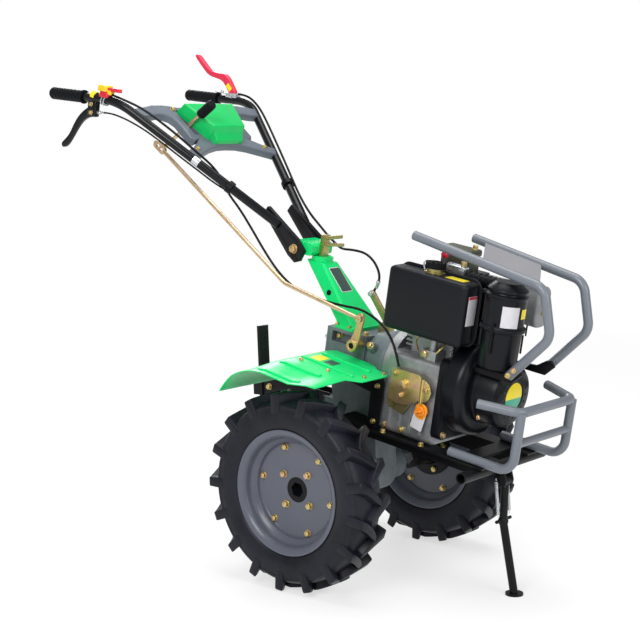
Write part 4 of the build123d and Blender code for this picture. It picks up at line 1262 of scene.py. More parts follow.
        def at_station(unit: Vector) -> Vector:
            """Where a corner of the unit block lies on the cover."""
            foot, top = self.cover_stations[round(unit.x)]
            s, half, height = top if unit.z > 0.5 else foot
            return Vector((s, unit.y * half, self.face_n + height))

        cover.warp(at_station).bevel(3.5, 3, 12.0).place(self.bar)
        cover.settle("console_cover_shell", COVER_GREEN, Body.HANDLEBAR, "green_cover", "console_cover")

    @staticmethod
    def make_knob() -> None:
        """Turn the ribbed gear knob on the lever's end."""
        profile = [(0.0, 0.0), (11.0, 0.0), (14.0, 2.0)]
        for rib in range(6):
            start = 4.0 + rib * 7.6
            profile += [(13.2, start), (14.9, start + 1.4), (15.0, start + 5.2), (13.2, start + 6.8)]
        profile += [(14.6, 52.0), (14.4, 57.0), (11.0, 61.0), (0.0, 62.0)]
        foot, head = Vector((-831.0, -97.0, 777.0)), Vector((-692.0, -97.0, 900.0))
        run = (head - foot).normalized()
        knob = Shape.turned(profile, 32).place(aim(tuple(head - run * 8.0), tuple(run)))
        knob.settle("gear_knob_ribbed", GRIP_RUBBER, Body.HANDLEBAR, "black_plastic", "gear_knob")

    def make_right_lever(self) -> None:
        """Model the right hand lever: a tall bracket, an S-curved blade, a ferrule and its cable."""
        y = -self.lever_y
        blade = Shape.upright(self.blade, y, 14.0, 3.0, True)
        bracket = Shape.cube((-962, -926), (y - 10, y + 10), (852, 899)).bevel(5.0, 3)
        bracket.join([blade])
        bracket.settle("right_hand_lever", BLACK_SATIN, Body.HANDLEBAR, "black_paint", "right_lever")
        heads = places_facing(RIGHTWARD, [(-944, y - 10, 888), (-942, y - 10, 864)])
        Bolt(10.0, 4.0).row("right_lever_bolts", heads, Body.HANDLEBAR)
        ferrule = Shape.turned([(0, 0), (4.5, 0), (5.5, 2), (5.5, 14), (4.0, 16), (3.5, 30), (0, 30)], 20)
        ferrule.place(aim((-927, y, 866), (0.98, 0.02, 0.14)))
        ferrule.settle("right_cable_ferrule", ZINC_BRIGHT, Body.HANDLEBAR, "steel")
        cable = Shape.pipe(self.lever_cable, 2.6)
        cable.settle("right_lever_cable", CABLE_BLACK, Body.HANDLEBAR, "black_plastic")

    @staticmethod
    def tapered(x: Sequence[float], y: Sequence[float], z: Sequence[float]) -> Shape:
        """A block with a narrower top and round edges."""
        block = Shape.cube(x, y, z)
        block.pick(lambda centre, normal: normal.z > 0.9).widen((0.9, 0.9, 1.0))
        return block.bevel(4.0, 3)

    def make_throttle(self) -> None:
        """Model the throttle: base, yellow cap, red finger lever, wire clamp and a tag on the tube."""
        x, y = -896.0, -self.lever_y
        base = self.tapered((x - 19, x + 17), (y - 13, y + 13), (914, 933))
        base.settle("throttle_base", RED_PLASTIC, Body.HANDLEBAR, "red_plastic", "throttle_lever")
        cap = self.tapered((x - 23, x + 13), (y - 17, y + 17), (932, 950))
        tongue = Shape.cube((x + 8, x + 26), (y - 9, y + 9), (924, 938)).bevel(3.0, 3)
        cap.join([tongue]).settle("throttle_cap", YELLOW_PLASTIC, Body.HANDLEBAR, "red_plastic")
        finger = Shape.plate([(-10, -8), (10, -8), (28, -6), (46, -8), (50, 0), (46, 8), (28, 6), (10, 8),
                              (-10, 8)], 11.0, 2.5, True)
        finger.place(Matrix.Translation((x + 12, y, 939)) @ Matrix.Rotation(math.radians(-3.0), 4, "Y"))
        finger.settle("throttle_finger", RED_PLASTIC, Body.HANDLEBAR, "red_plastic")
        run = Vector((-1.0, 0.0, 0.17))
        rings = [self.band(Vector((at, -287.7, 905.2)), run, 15.2, 2.2, 0.0) for at in (-903.0, -892.0)]
        Shape.merge(rings).settle("throttle_clamp", ZINC_BRIGHT, Body.HANDLEBAR, "steel")
        tag = self.band(Vector((-944.0, -288.5, 913.2)), run, 13.4, 8.0, 0.3)
        tag.settle("throttle_tube_tag", LABEL_YELLOW, Body.HANDLEBAR, "black_plastic")

    @staticmethod
    def band(middle: Vector, run: Vector, radius: float, half: float, flat: float) -> Shape:
        """A band round a tube.

        Args:
            middle: A point on the tube's axis.
            run: The axis.
            radius: The band's outer radius.
            half: Half of its length.
            flat: How far the edges fall in.

        Returns:
            The band as a closed ring.
        """
        inner = radius - 2.4
        profile = [(inner, -half), (radius - flat, -half), (radius, -half + 1.0), (radius, half - 1.0),
                   (radius - flat, half), (inner, half), (inner, -half)]
        return Shape.turned(profile, 32).place(aim(tuple(middle), tuple(run)))

    def make_clutch_lever(self) -> None:
        """Model the clutch lever: a red pressed handle on a plated bracket."""
        y = self.lever_y
        handle = Shape.upright(self.clutch_handle, y, 17.0, 4.0, True)
        handle.settle("clutch_handle", RED_LEVER, Body.HANDLEBAR, "red_plastic", "clutch_lever")
        Sticker("clutch_handle_tag", 24.0, 15.0, LABEL_YELLOW, Body.HANDLEBAR, 2.0).stick(
            aim((-940, y - 8.4, 946), RIGHTWARD, -40.0))
        bracket = Shape.cube((-950, -902), (y - 11, y + 11), (912, 930)).bevel(3.0, 2)
        shelf = Shape.cube((-990, -900), (y - 17, y + 17), (924, 928)).bevel(1.5, 2)
        bracket.join([shelf]).settle("clutch_bracket", ZINC_BRIGHT, Body.HANDLEBAR, "steel")
        heads = [((-922, y - 11, 920), RIGHTWARD), ((-922, y + 11, 920), LEFTWARD),
                 ((-966, y - 9, 928), UPWARD)]
        Bolt(10.0, 5.0).row("clutch_lever_bolts", heads, Body.HANDLEBAR, ZINC_BRIGHT)

    def make_clips(self) -> None:
        """Strap the cables to the tubes, and wrap a tape round the near one."""
        straps = []
        for side in Side:
            middle, run = self.tube_at(side, self.strap_s)
            strap = self.band(middle, run, self.tube_radius + 5.5, 9.0, 2.5)
            straps.append(strap.place(self.bar))
        Shape.merge(straps).settle("cable_straps", BLACK_PLASTIC, Body.HANDLEBAR, "black_plastic")
        middle, run = self.tube_at(Side.RIGHT, self.tape_s)
        tape = self.band(middle, run, self.tube_radius + 0.5, 11.0, 0.2).place(self.bar)
        tape.settle("tube_tape", ZINC_BRIGHT, Body.HANDLEBAR, "steel")

    def tube_at(self, side: Side, s: float) -> tuple[Vector, Vector]:
        """A point on a tube's axis and the way it runs, in the handlebar's frame."""
        (start_s, start_y), (bend_s, bend_y) = self.tube_start, self.tube_bend
        flip = -side.value
        return (Vector((s, flip * self.tube_y(s), self.tube_n)),
                Vector((bend_s - start_s, flip * (bend_y - start_y), 0.0)))


@dataclass
class Stand:
    """The front stand's two coil springs."""

    spring_y: float = 27.0
    top: tuple[float, float] = (430.0, 113.5)
    foot: tuple[float, float] = (456.0, 8.8)
    coil_radius: float = 3.9
    wire: float = 1.15
    pitch: float = 2.9
    hook: float = 9.0

    def build(self) -> None:
        """Wind both springs and hook them on."""
        top, foot = Vector((self.top[0], 0, self.top[1])), Vector((self.foot[0], 0, self.foot[1]))
        run = foot - top
        hook = self.hook
        turns = int((run.length - 2 * hook) / self.pitch)
        springs = []
        for side in (1, -1):
            Shape.clear()
            bpy.ops.mesh.primitive_circle_add(vertices=8, radius=self.wire,
                                              location=(self.coil_radius, 0, hook),
                                              rotation=(math.pi / 2, 0, 0))
            coil = Shape(bpy.context.object)
            coil.modifier("SCREW", axis="Z", angle=math.tau, screw_offset=self.pitch, iterations=turns,
                          steps=14, render_steps=14)
            length = hook + turns * self.pitch
            ends = [Shape.pipe([(self.coil_radius, 0, z), (0, 0, z + 2 * way), (0, 0, z + 6 * way),
                                (0, 0, z + hook * way)], self.wire, 2)
                    for z, way in ((hook, -1), (length, 1))]
            coil.join(ends).heal()
            springs.append(coil.place(aim((top.x, side * self.spring_y, top.z), tuple(run))))
        spring = Shape.merge(springs).dress("stand_coil_springs", ZINC_BRIGHT, "steel", "stand_springs")
        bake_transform(spring)


def ribbed(radius: float, height: float, ribs: int, depth: float) -> Shape:
    """A knob with upright ribs round its side.

    Args:
        radius: Radius between the ribs.
        height: Height along Z.
        ribs: Number of ribs.
        depth: How far the ribs stand out.

    Returns:
        The knob, standing on the origin.
    """
    knob = Shape.cylinder(radius, height, ribs * 2)

    def on_rib(centre: Vector, normal: Vector) -> bool:
        """Every second side face carries a rib."""
        turn = math.atan2(centre.y, centre.x) / math.pi * ribs
        return abs(normal.z) < 0.1 and round(turn - 0.5) % 2 == 0

    knob.pick(on_rib)
    bpy.ops.mesh.inset(thickness=radius * 0.02, depth=depth, use_individual=True)
    knob.pick(lambda centre, normal: normal.z > 0.9).inset(radius * 0.25).extrude((0, 0, -height * 0.06))
    return knob.bevel(0.6, 1, 40.0)


def wrapped_label(name: str, finish: Finish, axis: Point, radius: float, facing: float, width: float,
                  rise: tuple[float, float]) -> None:
    """Wrap a blank label round an upright can.

    Args:
        name: The label's name.
        finish: Its colour.
        axis: A point on the can's axis.
        radius: The can's radius.
        facing: The label's middle in degrees from forward towards the left.
        width: Its width along the curve.
        rise: Its lower and upper edge above the point.
    """
    span = width / radius
    label = Shape.turned([(radius + 0.3, rise[0]), (radius + 0.3, rise[1])], 10, span)
    label.modifier("SOLIDIFY", thickness=0.8, offset=0.0)
    label.place(Matrix.Translation(axis) @ Matrix.Rotation(math.radians(facing) + span / 2, 4, "Z"))
    label.settle(name, finish, Body.CHASSIS, "black_plastic")


@dataclass
class FuelTank:
    """The pressed tank over the crankcase: two shells, a seam flange, cap and stickers."""

    x: tuple[float, float] = (82.0, 331.0)
    y: tuple[float, float] = (-150.0, -56.0)
    z: tuple[float, float] = (456.0, 625.0)
    seam_y: float = -84.0
    flange: float = 7.0
    cap: Point = (196.0, -100.0, 625.0)

    def build(self) -> None:
        """Model the tank and what sits on it."""
        self.make_shell()
        self.make_cap()
        self.make_stickers()

    def make_shell(self) -> None:
        """Round the front shell, the rear shell and the seam between them."""
        (x0, x1), (y0, y1), (z0, z1) = self.x, self.y, self.z
        front = Shape.cube((x0, x1), (y0, self.seam_y), (z0, z1))
        front.bevel(13.0, 5)
        rear = Shape.cube((x0 + 5, x1 - 5), (self.seam_y - 30, y1), (z0 + 5, z1 - 5)).bevel(16.0, 5)
        middle = ((x0 + x1) / 2, self.seam_y, (z0 + z1) / 2)
        outline = arc_outline(x1 - x0 + 2 * self.flange, z1 - z0 + 2 * self.flange, 30.0)
        flange = Shape.plate(outline, 5.0, 2.0).place(aim(middle, RIGHTWARD))
        front.join([rear, flange])
        front.settle("pressed_tank", TANK_BLACK, Body.CHASSIS, "black_paint", "fuel_tank", angle=30.0)

    def make_cap(self) -> None:
        """Model the filler's neck, its ribbed cap and the spring clip."""
        x, y, z = self.cap
        cap = ribbed(26.0, 15.0, 22, 1.6).place(Matrix.Translation((x, y, z + 11)))
        cap.settle("ribbed_fuel_cap", BLACK_PLASTIC, Body.CHASSIS, "black_plastic", "fuel_cap")
        neck = Shape.turned([(0, 0), (29, 0), (29, 2), (23, 4), (23, 11), (0, 11)], 32)
        neck.place(Matrix.Translation((x, y, z)))
        neck.settle("filler_neck", ZINC_OLIVE_AND_SHADED_GOLD, Body.CHASSIS, "zinc_gold")
        clip = Shape.pipe([(x - 24, y - 12, z + 3), (x - 36, y - 8, z + 16), (x - 36, y + 4, z + 26),
                           (x - 26, y + 14, z + 25), (x - 12, y + 20, z + 17), (x - 20, y + 16, z + 4)], 2.2)
        clip.settle("filler_clip", ZINC_BRIGHT, Body.CHASSIS, "steel")

    def make_stickers(self) -> None:
        """Lay the blank stickers on the top and on the forward face."""
        top = Sticker("tank_top_sticker", 58.0, 30.0, LABEL_YELLOW, corner=1.0)
        top.stick(aim((276.0, -113.0, self.z[1]), UPWARD))
        side = Sticker("tank_side_sticker", 40.0, 78.0, LABEL_WHITE, band=LABEL_RED, band_share=0.1,
                       corner=1.5)
        side.stick(aim((self.x[1], -112.0, 553.0), FORWARD))


@dataclass
class AirCleaner:
    """The oil-bath air cleaner: canister, latch, intake hose and blank labels."""

    axis: tuple[float, float] = (408.0, -76.0)
    # Canister from its foot to the middle of its cap: (radius, height) pairs.
    canister: Outline = (
        (0.0, 420.0), (42.0, 420.0), (48.0, 422.0), (50.0, 427.0), (51.5, 518.0), (57.0, 520.0),
        (60.0, 524.0), (60.0, 530.0), (56.0, 534.0), (52.5, 535.0), (53.0, 606.0), (55.0, 609.0),
        (55.0, 614.0), (49.0, 617.0), (48.0, 620.0), (52.0, 623.0), (53.0, 627.0), (51.0, 631.0),
        (36.0, 643.0), (33.0, 645.5), (0.0, 646.0),
    )
    hose_y: float = -30.0
    hose_z: float = 620.0
    hose_radius: float = 18.0
    hose_start: float = 252.0
    label_z: float = 550.0
    label_radius: float = 53.2
    label_facing: float = -42.0

    def build(self) -> None:
        """Model the cleaner."""
        x, y = self.axis
        can = Shape.turned(self.canister, 56).place(Matrix.Translation((x, y, 0)))
        can.settle("oil_bath_cleaner", SHROUD_BLACK, Body.CHASSIS, "black_shroud", "air_cleaner", angle=28.0)
        self.make_hose()
        self.make_latches()
        spot, radius, turn = (x, y, self.label_z), self.label_radius, self.label_facing
        wrapped_label("cleaner_label", LABEL_WHITE, spot, radius, turn, 46.0, (-14.0, 41.0))
        wrapped_label("cleaner_note", LABEL_YELLOW, spot, radius, turn + 47.0, 22.0, (10.0, 35.0))

    def make_hose(self) -> None:
        """Turn the ribbed intake hose between the head and the canister."""
        length = self.axis[0] - self.hose_start
        profile = [(0.0, 0.0), (self.hose_radius + 2, 0.0), (self.hose_radius + 2, 10.0)]
        start, rings = 14.0, 7
        pitch = (length - 50.0) / rings
        for ring in range(rings):
            at = start + ring * pitch
            profile += [(self.hose_radius - 2.5, at), (self.hose_radius - 2.5, at + pitch * 0.3),
                        (self.hose_radius, at + pitch * 0.5), (self.hose_radius, at + pitch * 0.85)]
        profile += [(self.hose_radius - 1.0, length), (0.0, length)]
        hose = Shape.turned(profile, 32).place(aim((self.hose_start, self.hose_y, self.hose_z), FORWARD))
        hose.settle("intake_hose", BLACK_PLASTIC, Body.CHASSIS, "black_plastic")

    def make_latches(self) -> None:
        """Clip the bowl to the body with over-centre latches."""
        x, y = self.axis
        latches = []
        for turn in (-85.0, 35.0, 155.0):
            hook = Shape.cube((59, 63), (-5, 5), (512, 542)).bevel(1.2, 2)
            tail = Shape.cube((52, 57), (-4, 4), (464, 513)).bevel(1.5, 2)
            latches.append(hook.join([tail]).place(
                Matrix.Translation((x, y, 0)) @ Matrix.Rotation(math.radians(turn), 4, "Z")))
        Shape.merge(latches).settle("bowl_latches", BLACK_PLASTIC, Body.CHASSIS, "black_plastic")


@dataclass
class Engine:
    """Shroud, starter, governor, dipstick, head gear, fuel pipes, muffler and guard brackets."""

    crank_z: float = 333.0
    recoil_x: float = 350.0
    recoil_face: float = 430.0
    recoil_slots: int = 18
    sticker_radius: float = 39.0
    sticker_tilt: float = 0.12
    plate_y: float = -131.0
    case_y: float = -112.0
    guard_plate_y: float = 81.5
    starter_ring: float = 92.0

    def build(self) -> None:
        """Model the engine's dressing."""
        self.make_shroud()
        self.make_recoil()
        self.make_governor()
        self.make_dipstick()
        self.make_head_gear()
        self.make_fuel_lines()
        self.make_muffler()
        self.make_bolts()

    @staticmethod
    def make_shroud() -> None:
        """Round the fan shroud's edges."""
        shroud = Shape.from_node("fan_shroud").bevel(9.0, 4, 50.0)
        shroud.settle("rounded_shroud", SHROUD_BLACK, Body.CHASSIS, "black_shroud", "fan_shroud", angle=40.0)

    def make_recoil(self) -> None:
        """Turn the starter's housing, slot it and lay the round sticker on its face."""
        depth = self.recoil_face - self.recoil_x
        housing = Shape.turned([(0, 0), (92, 0), (92, 8), (88, 11), (87, depth - 26), (84, depth - 12),
                                (76, depth - 3), (66, depth), (44, depth), (42, depth - 2),
                                (0, depth - 2)], 72)
        place = aim((self.recoil_x, 0.0, self.crank_z), FORWARD)
        housing.place(place)
        housing.settle("starter_housing", SHROUD_BLACK, Body.CHASSIS, "black_shroud", "recoil_cover",
                       angle=28.0)
        slots = []
        for number in range(self.recoil_slots):
            slot = Shape.cube((52, 64), (-3.2, 3.2), (depth - 1.2, depth + 0.3)).bevel(1.0, 2)
            slots.append(slot.place(place @ Matrix.Rotation(math.tau * number / self.recoil_slots, 4, "Z")))
        Shape.merge(slots).settle("starter_slots", TANK_BLACK, Body.CHASSIS, "black_shroud")
        tilt = self.sticker_tilt
        halves = (
            ("starter_sticker_upper", LABEL_YELLOW, -tilt, math.pi + 2 * tilt),
            ("starter_sticker_lower", LABEL_GREEN, math.pi + tilt, math.pi - 2 * tilt),
        )
        for name, finish, start, span in halves:
            turns = [start + span * step / 24 for step in range(25)]
            outline = [(self.sticker_radius * math.cos(turn), self.sticker_radius * math.sin(turn))
                       for turn in turns]
            half = Shape.plate(outline, 0.8, 0.2).place(place @ Matrix.Translation((0, 0, depth - 1.8)))
            half.settle(name, finish, Body.CHASSIS, "black_plastic")

    def make_governor(self) -> None:
        """Model the governor's plate, curved bracket, hinge bar and lower cover; the cover is the gold plate
        running on downward, darkened to olive zinc as painted shade.
        """
        y = self.plate_y
        plate = Shape.upright([(124, 352), (211, 352), (221, 344), (222, 284), (184, 262), (150, 258),
                               (125, 268)], y + 2.0, 4.0)
        spacer = Shape.cube((132, 214), (y + 3, self.case_y), (274, 344)).bevel(2.0, 2)
        plate.join([spacer])
        plate.settle("governor_sheet", ZINC_GOLD, Body.CHASSIS, "zinc_gold", "governor_plate")
        bracket = Shape.upright([(222, 344), (236, 341), (250, 331), (257, 314), (252, 296), (240, 284),
                                 (222, 280)], y + 2.0, 3.5)
        bar = Shape.cylinder(4.5, 66.0, 20).bevel(1.0, 2).place(aim((229, y - 1, 279), UPWARD))
        bracket.join([bar]).settle("governor_bracket", ZINC_GOLD, Body.CHASSIS, "zinc_gold")
        # Painted shade: the lower cover is the same gold plating as the plate above, given the darker olive
        # zinc to stand for the shade that it lies in.
        sheet = Shape.upright([(112, 300), (112, 246), (120, 240), (164, 229), (172, 233), (188, 262),
                               (180, 300)], self.case_y - 4.5, 5.0, 1.0)
        sheet.settle("governor_cover_painted_shade", ZINC_OLIVE_AND_SHADED_GOLD, Body.CHASSIS, "zinc_gold")
        Bolt(24.0, 9.0, 3.0).row("governor_nut", [((170, y, 316), RIGHTWARD)], Body.CHASSIS)
        heads = places_facing(RIGHTWARD, [(163, y, 284), (244, y, 318), (138, y, 340)])
        Bolt(11.0, 6.0).row("governor_bolts", heads, Body.CHASSIS)

    def make_dipstick(self) -> None:
        """Model the winged oil plug and the blank tag that hangs from it."""
        x, z = 231.0, 258.0
        plug = Shape.turned([(0, 0), (17, 0), (17, 5), (14, 7), (14, 14), (11, 17), (0, 17)], 32)
        wing = Shape.cube((-12, 12), (-3, 3), (14, 25)).bevel(2.5, 3)
        plug.join([wing.place(Matrix.Rotation(math.radians(20.0), 4, "Z"))])
        plug.place(aim((x, self.case_y - 6, z), RIGHTWARD))
        plug.settle("oil_plug", ORANGE_PLASTIC, Body.CHASSIS, "orange_plastic", "dipstick")
        hang = aim((x - 3, self.case_y - 12.5, z - 14), RIGHTWARD, -11.0)
        Sticker("plug_tag", 38.0, 62.0, LABEL_WHITE, corner=3.0, thickness=1.0).stick(
            hang @ Matrix.Translation((0, -9.0, 0)))
        Sticker("plug_tag_head", 38.0, 44.0, LABEL_ORANGE, corner=17.0, thickness=1.0).stick(
            hang @ Matrix.Translation((0, 13.0, 0.7)))

    @staticmethod
    def make_head_gear() -> None:
        """Model the decompression lever, its red ball and the plated parts on the head."""
        ball = Shape.turned([(10.5 * math.sin(math.pi * step / 16), -10.5 * math.cos(math.pi * step / 16))
                             for step in range(17)], 28)
        ball.place(Matrix.Translation((182, -44, 665)))
        ball.settle("decompression_ball", RED_PLASTIC, Body.CHASSIS, "red_plastic", "decompression_knob")
        rocker = Shape.cube((192, 254), (-54, -30), (620, 645))
        rocker.pick(lambda centre, normal: normal.z > 0.9).inset(5.0).extrude((0, 0, 4.0))
        rocker.bevel(3.0, 3)
        stem = Shape.turned([(0, 0), (6, 0), (6, 12), (3.5, 14), (3.5, 36), (0, 36)], 20)
        stem.place(Matrix.Translation((182, -44, 621)))
        pin = Shape.cylinder(6.0, 30.0, 20).bevel(1.5, 2).place(aim((176, -43, 634), FORWARD))
        rocker.join([stem, pin]).settle("rocker_gear", ZINC_BRIGHT, Body.CHASSIS, "steel")
        cover = Shape.cube((145, 237), (-7, 45), (621, 668)).bevel(5.0, 3, 60.0)
        lid = Shape.cube((141, 241), (-10, 48), (664, 684)).bevel(7.0, 4)
        cover.join([lid]).settle("rocker_cover", HEAD_OLIVE, Body.CHASSIS, "cast_grey")
        nuts = places_facing(UPWARD, [(244, -42, 648), (226, 30, 683.5)])
        Bolt(13.0, 9.0).row("head_nuts", nuts, Body.CHASSIS)

    @staticmethod
    def make_fuel_lines() -> None:
        """Bend the thin fuel pipes from the pump, and turn the pump's body."""
        lines = (
            [(213, -82, 444), (213, -84, 456), (202, -92, 460), (184, -98, 452), (166, -96, 440),
             (160, -88, 420), (164, -78, 402)],
            [(222, -90, 404), (232, -100, 410), (244, -100, 424), (250, -86, 440), (252, -66, 458),
             (252, -58, 500)],
        )
        pipes = [Shape.pipe(line, 2.6, 2) for line in lines]
        Shape.merge(pipes).settle("fuel_pipes", ZINC_GOLD, Body.CHASSIS, "zinc_gold")
        body = Shape.turned([(0, 0), (13, 0), (13, 9), (9, 11), (9, 22), (11, 24), (11, 31), (6, 34),
                             (0, 34)], 24)
        body.place(aim((201, -78, 404), RIGHTWARD))
        nut = Shape.cylinder(9.0, 9.0, 6).bevel(1.0, 2).place(aim((213, -82, 436), UPWARD))
        body.join([nut]).settle("pump_body", ZINC_OLIVE_AND_SHADED_GOLD, Body.CHASSIS, "zinc_gold")

    @staticmethod
    def make_muffler() -> None:
        """Round the muffler's shell and set its bolts."""
        shell = Shape.from_node("muffler").bevel(14.0, 5, 50.0)
        shell.settle("muffler_shell", EXHAUST_GREY, Body.CHASSIS, "exhaust_grey", "muffler", angle=40.0)
        heads = places_facing(FORWARD, [(404, 108, 590), (404, 126, 540)])
        Bolt(11.0, 5.0).row("muffler_bolts", heads, Body.CHASSIS)

    def make_bolts(self) -> None:
        """Set the crankcase's and the starter's bolts, and bolt the guard bracket plates on."""
        y = self.case_y
        places = places_facing(RIGHTWARD, [(168, y, 185), (112, y, 185)])
        places += places_facing(FORWARD, [(292, -104, 388), (292, -104, 206)])
        places += both_sides(places_facing(UPWARD, [(122, -130, 167), (248, -130, 167)]))
        Bolt(13.0, 7.0).row("crankcase_bolts", places, Body.CHASSIS)
        outline = [(350, 392), (350, 406), (436, 412), (464, 432), (478, 434), (490, 420), (464, 392)]
        plates = [Shape.upright(outline, way * self.guard_plate_y, 8.0, 1.2) for way in (-1, 1)]
        Shape.merge(plates).settle("guard_bracket_plates", FRAME_BLACK, Body.CHASSIS, "black_paint",
                                   "guard_brackets")
        brackets = both_sides(places_facing(RIGHTWARD, [(465, -110, 417), (479, -110, 434)]))
        Bolt(11.0, 5.0).row("guard_bolts", brackets, Body.CHASSIS)
        turns = [math.radians(40.0 + 90.0 * number) for number in range(4)]
        ring = [(372.0, self.starter_ring * math.cos(turn), self.crank_z + self.starter_ring * math.sin(turn))
                for turn in turns]
        Bolt(11.0, 5.0).row("starter_bolts", places_facing(FORWARD, ring), Body.CHASSIS)


@dataclass
class Fender:
    """One pressed fender: raised ribs on top, a rear edge rolled down and a drooping outer edge."""

    side: Side
    under_z: float = 316.0
    thickness: float = 3.0
    front_x: float = 106.0
    step_x: float = 74.0
    rise: float = 3.2
    ridge_x: float = -108.0
    ridge_angle: float = 14.8
    roll_radius: float = 197.0
    roll_length: float = 183.6
    roll_steps: int = 12
    reach: tuple[float, float] = (76.0, 390.0)
    droop: float = 22.0
    droop_start: float = 250.0
    droop_steps: int = 8
    # Distances over which the droop grows behind the front step, and dies out past the ridge.
    droop_grows: float = 90.0
    droop_dies: float = 120.0
    least_droop: float = 0.2
    # Ribs on the top: distance from the middle of the machine, rear end and front end.
    ribs: tuple[Point, ...] = (
        (140.0, -108.0, 62.0), (222.0, -112.0, 68.0), (298.0, -122.0, 18.0), (366.0, -138.0, 4.0),
    )
    rib_half: float = 7.0
    # Bracket between the engine's rail and the fender's front, in X and Z.
    bracket: Outline = (
        (-20.0, 319.0), (90.0, 314.0), (100.0, 300.0), (100.0, 167.0), (62.0, 167.0), (58.0, 262.0),
        (-20.0, 272.0),
    )
    bracket_y: float = 121.0
    bracket_bolts: Outline = ((2, 292), (81, 286), (81, 186))
    bolts: Outline = ((-92.0, 250.0), (4.0, 252.0), (84.0, 196.0), (90.0, 118.0))
    sticker_y: float = 184.0

    @property
    def lean(self) -> Matrix:
        """Leans the flat sheet up towards the rear, on this side of the machine."""
        corner = Vector((self.front_x, 0, self.under_z))
        turn = Matrix.Rotation(math.radians(self.rise), 4, "Y")
        flip = Matrix.Scale(self.side.value, 4, (0, 1, 0))
        return flip @ Matrix.Translation(corner) @ turn @ Matrix.Translation(-corner)

    def build(self) -> None:
        """Model the fender and what sits on it."""
        self.make_sheet()
        up = tuple(self.lean.to_3x3() @ Vector(UPWARD))
        top = self.under_z + self.thickness
        spots = [tuple(self.lean @ Vector((x, y, top))) for x, y in self.bolts]
        word = self.side.word
        Bolt(10.0, 4.0, 1.2).row(word + "_fender_bolts", places_facing(up, spots), Body.CHASSIS)
        sign = self.side.value
        bracket = Shape.upright(self.bracket, sign * self.bracket_y, 4.0)
        bracket.settle(word + "_fender_bracket", FRAME_BLACK, Body.CHASSIS, "black_paint")
        heads = [(x, sign * (self.bracket_y + 2.0), z) for x, z in self.bracket_bolts]
        Bolt(11.0, 6.0).row(word + "_bracket_bolts", places_facing((0, sign, 0), heads), Body.CHASSIS)
        if self.side is Side.RIGHT:
            for name, finish, width, x in (("fender_sticker", LABEL_YELLOW, 46.0, -80.0),
                                           ("fender_note", LABEL_DARK, 38.0, -37.0)):
                spot = self.lean @ Vector((x, self.sticker_y, top))
                Sticker(name, width, 34.0, finish, corner=1.5).stick(aim(tuple(spot), up))

    def fold(self, flat: Vector) -> Vector:
        """Where a point of the flat sheet lies on the pressed one.

        Args:
            flat: X, distance from the middle of the machine, and height over the under side.

        Returns:
            The point before the sheet is leaned.
        """
        past = max(0.0, self.ridge_x - flat.x)
        x, z = flat.x, flat.z
        if past:
            start = math.radians(self.ridge_angle)
            turn = start + past / self.roll_radius
            x = self.ridge_x - self.roll_radius * (math.sin(turn) - math.sin(start)) - flat.z * math.sin(turn)
            z = self.roll_radius * (math.cos(turn) - math.cos(start)) + flat.z * math.cos(turn)
        share = min(1.0, max(0.0, (flat.y - self.droop_start) / (self.reach[1] - self.droop_start)))
        fade = min(1.0, max(self.least_droop, (self.step_x - flat.x) / self.droop_grows))
        fade *= max(0.0, 1.0 - past / self.droop_dies)
        z -= self.droop * share * share * (3.0 - 2.0 * share) * fade
        return Vector((x, flat.y, self.under_z + z))

    def make_sheet(self) -> None:
        """Cut the sheet, press the ribs, fold it and lean it."""
        inner, outer = self.reach
        rear = self.ridge_x - self.roll_length
        outline = [(rear, inner), (16, inner), (40, 87), (56, 102), (97, 102), (99, 114), (self.front_x, 120),
                   (self.front_x, 232), (self.step_x, 262), (self.step_x, outer), (rear, outer)]
        sheet = Shape.plate(outline, self.thickness)
        sheet.place(Matrix.Translation((0, 0, self.thickness / 2)))
        half = self.rib_half
        sheet.join([Shape.cube((back, front), (y - half, y + half), (0.4, self.thickness + 4)).bevel(3.2, 4)
                    for y, back, front in self.ribs])
        roll = self.roll_length / self.roll_steps
        strip = (outer - self.droop_start) / self.droop_steps
        for x in [self.ridge_x - roll * step for step in range(self.roll_steps)] + [-62, -16, 14, 44]:
            sheet.cut((x, 0, 0), FORWARD)
        for step in range(self.droop_steps):
            sheet.cut((0, self.droop_start + strip * step, 0), LEFTWARD)
        word = self.side.word
        sheet.warp(self.fold).place(self.lean).heal()
        sheet.settle(word + "_pressed_fender", BODY_GREEN, Body.CHASSIS, "green_paint", word + "_fender",
                     angle=40.0)


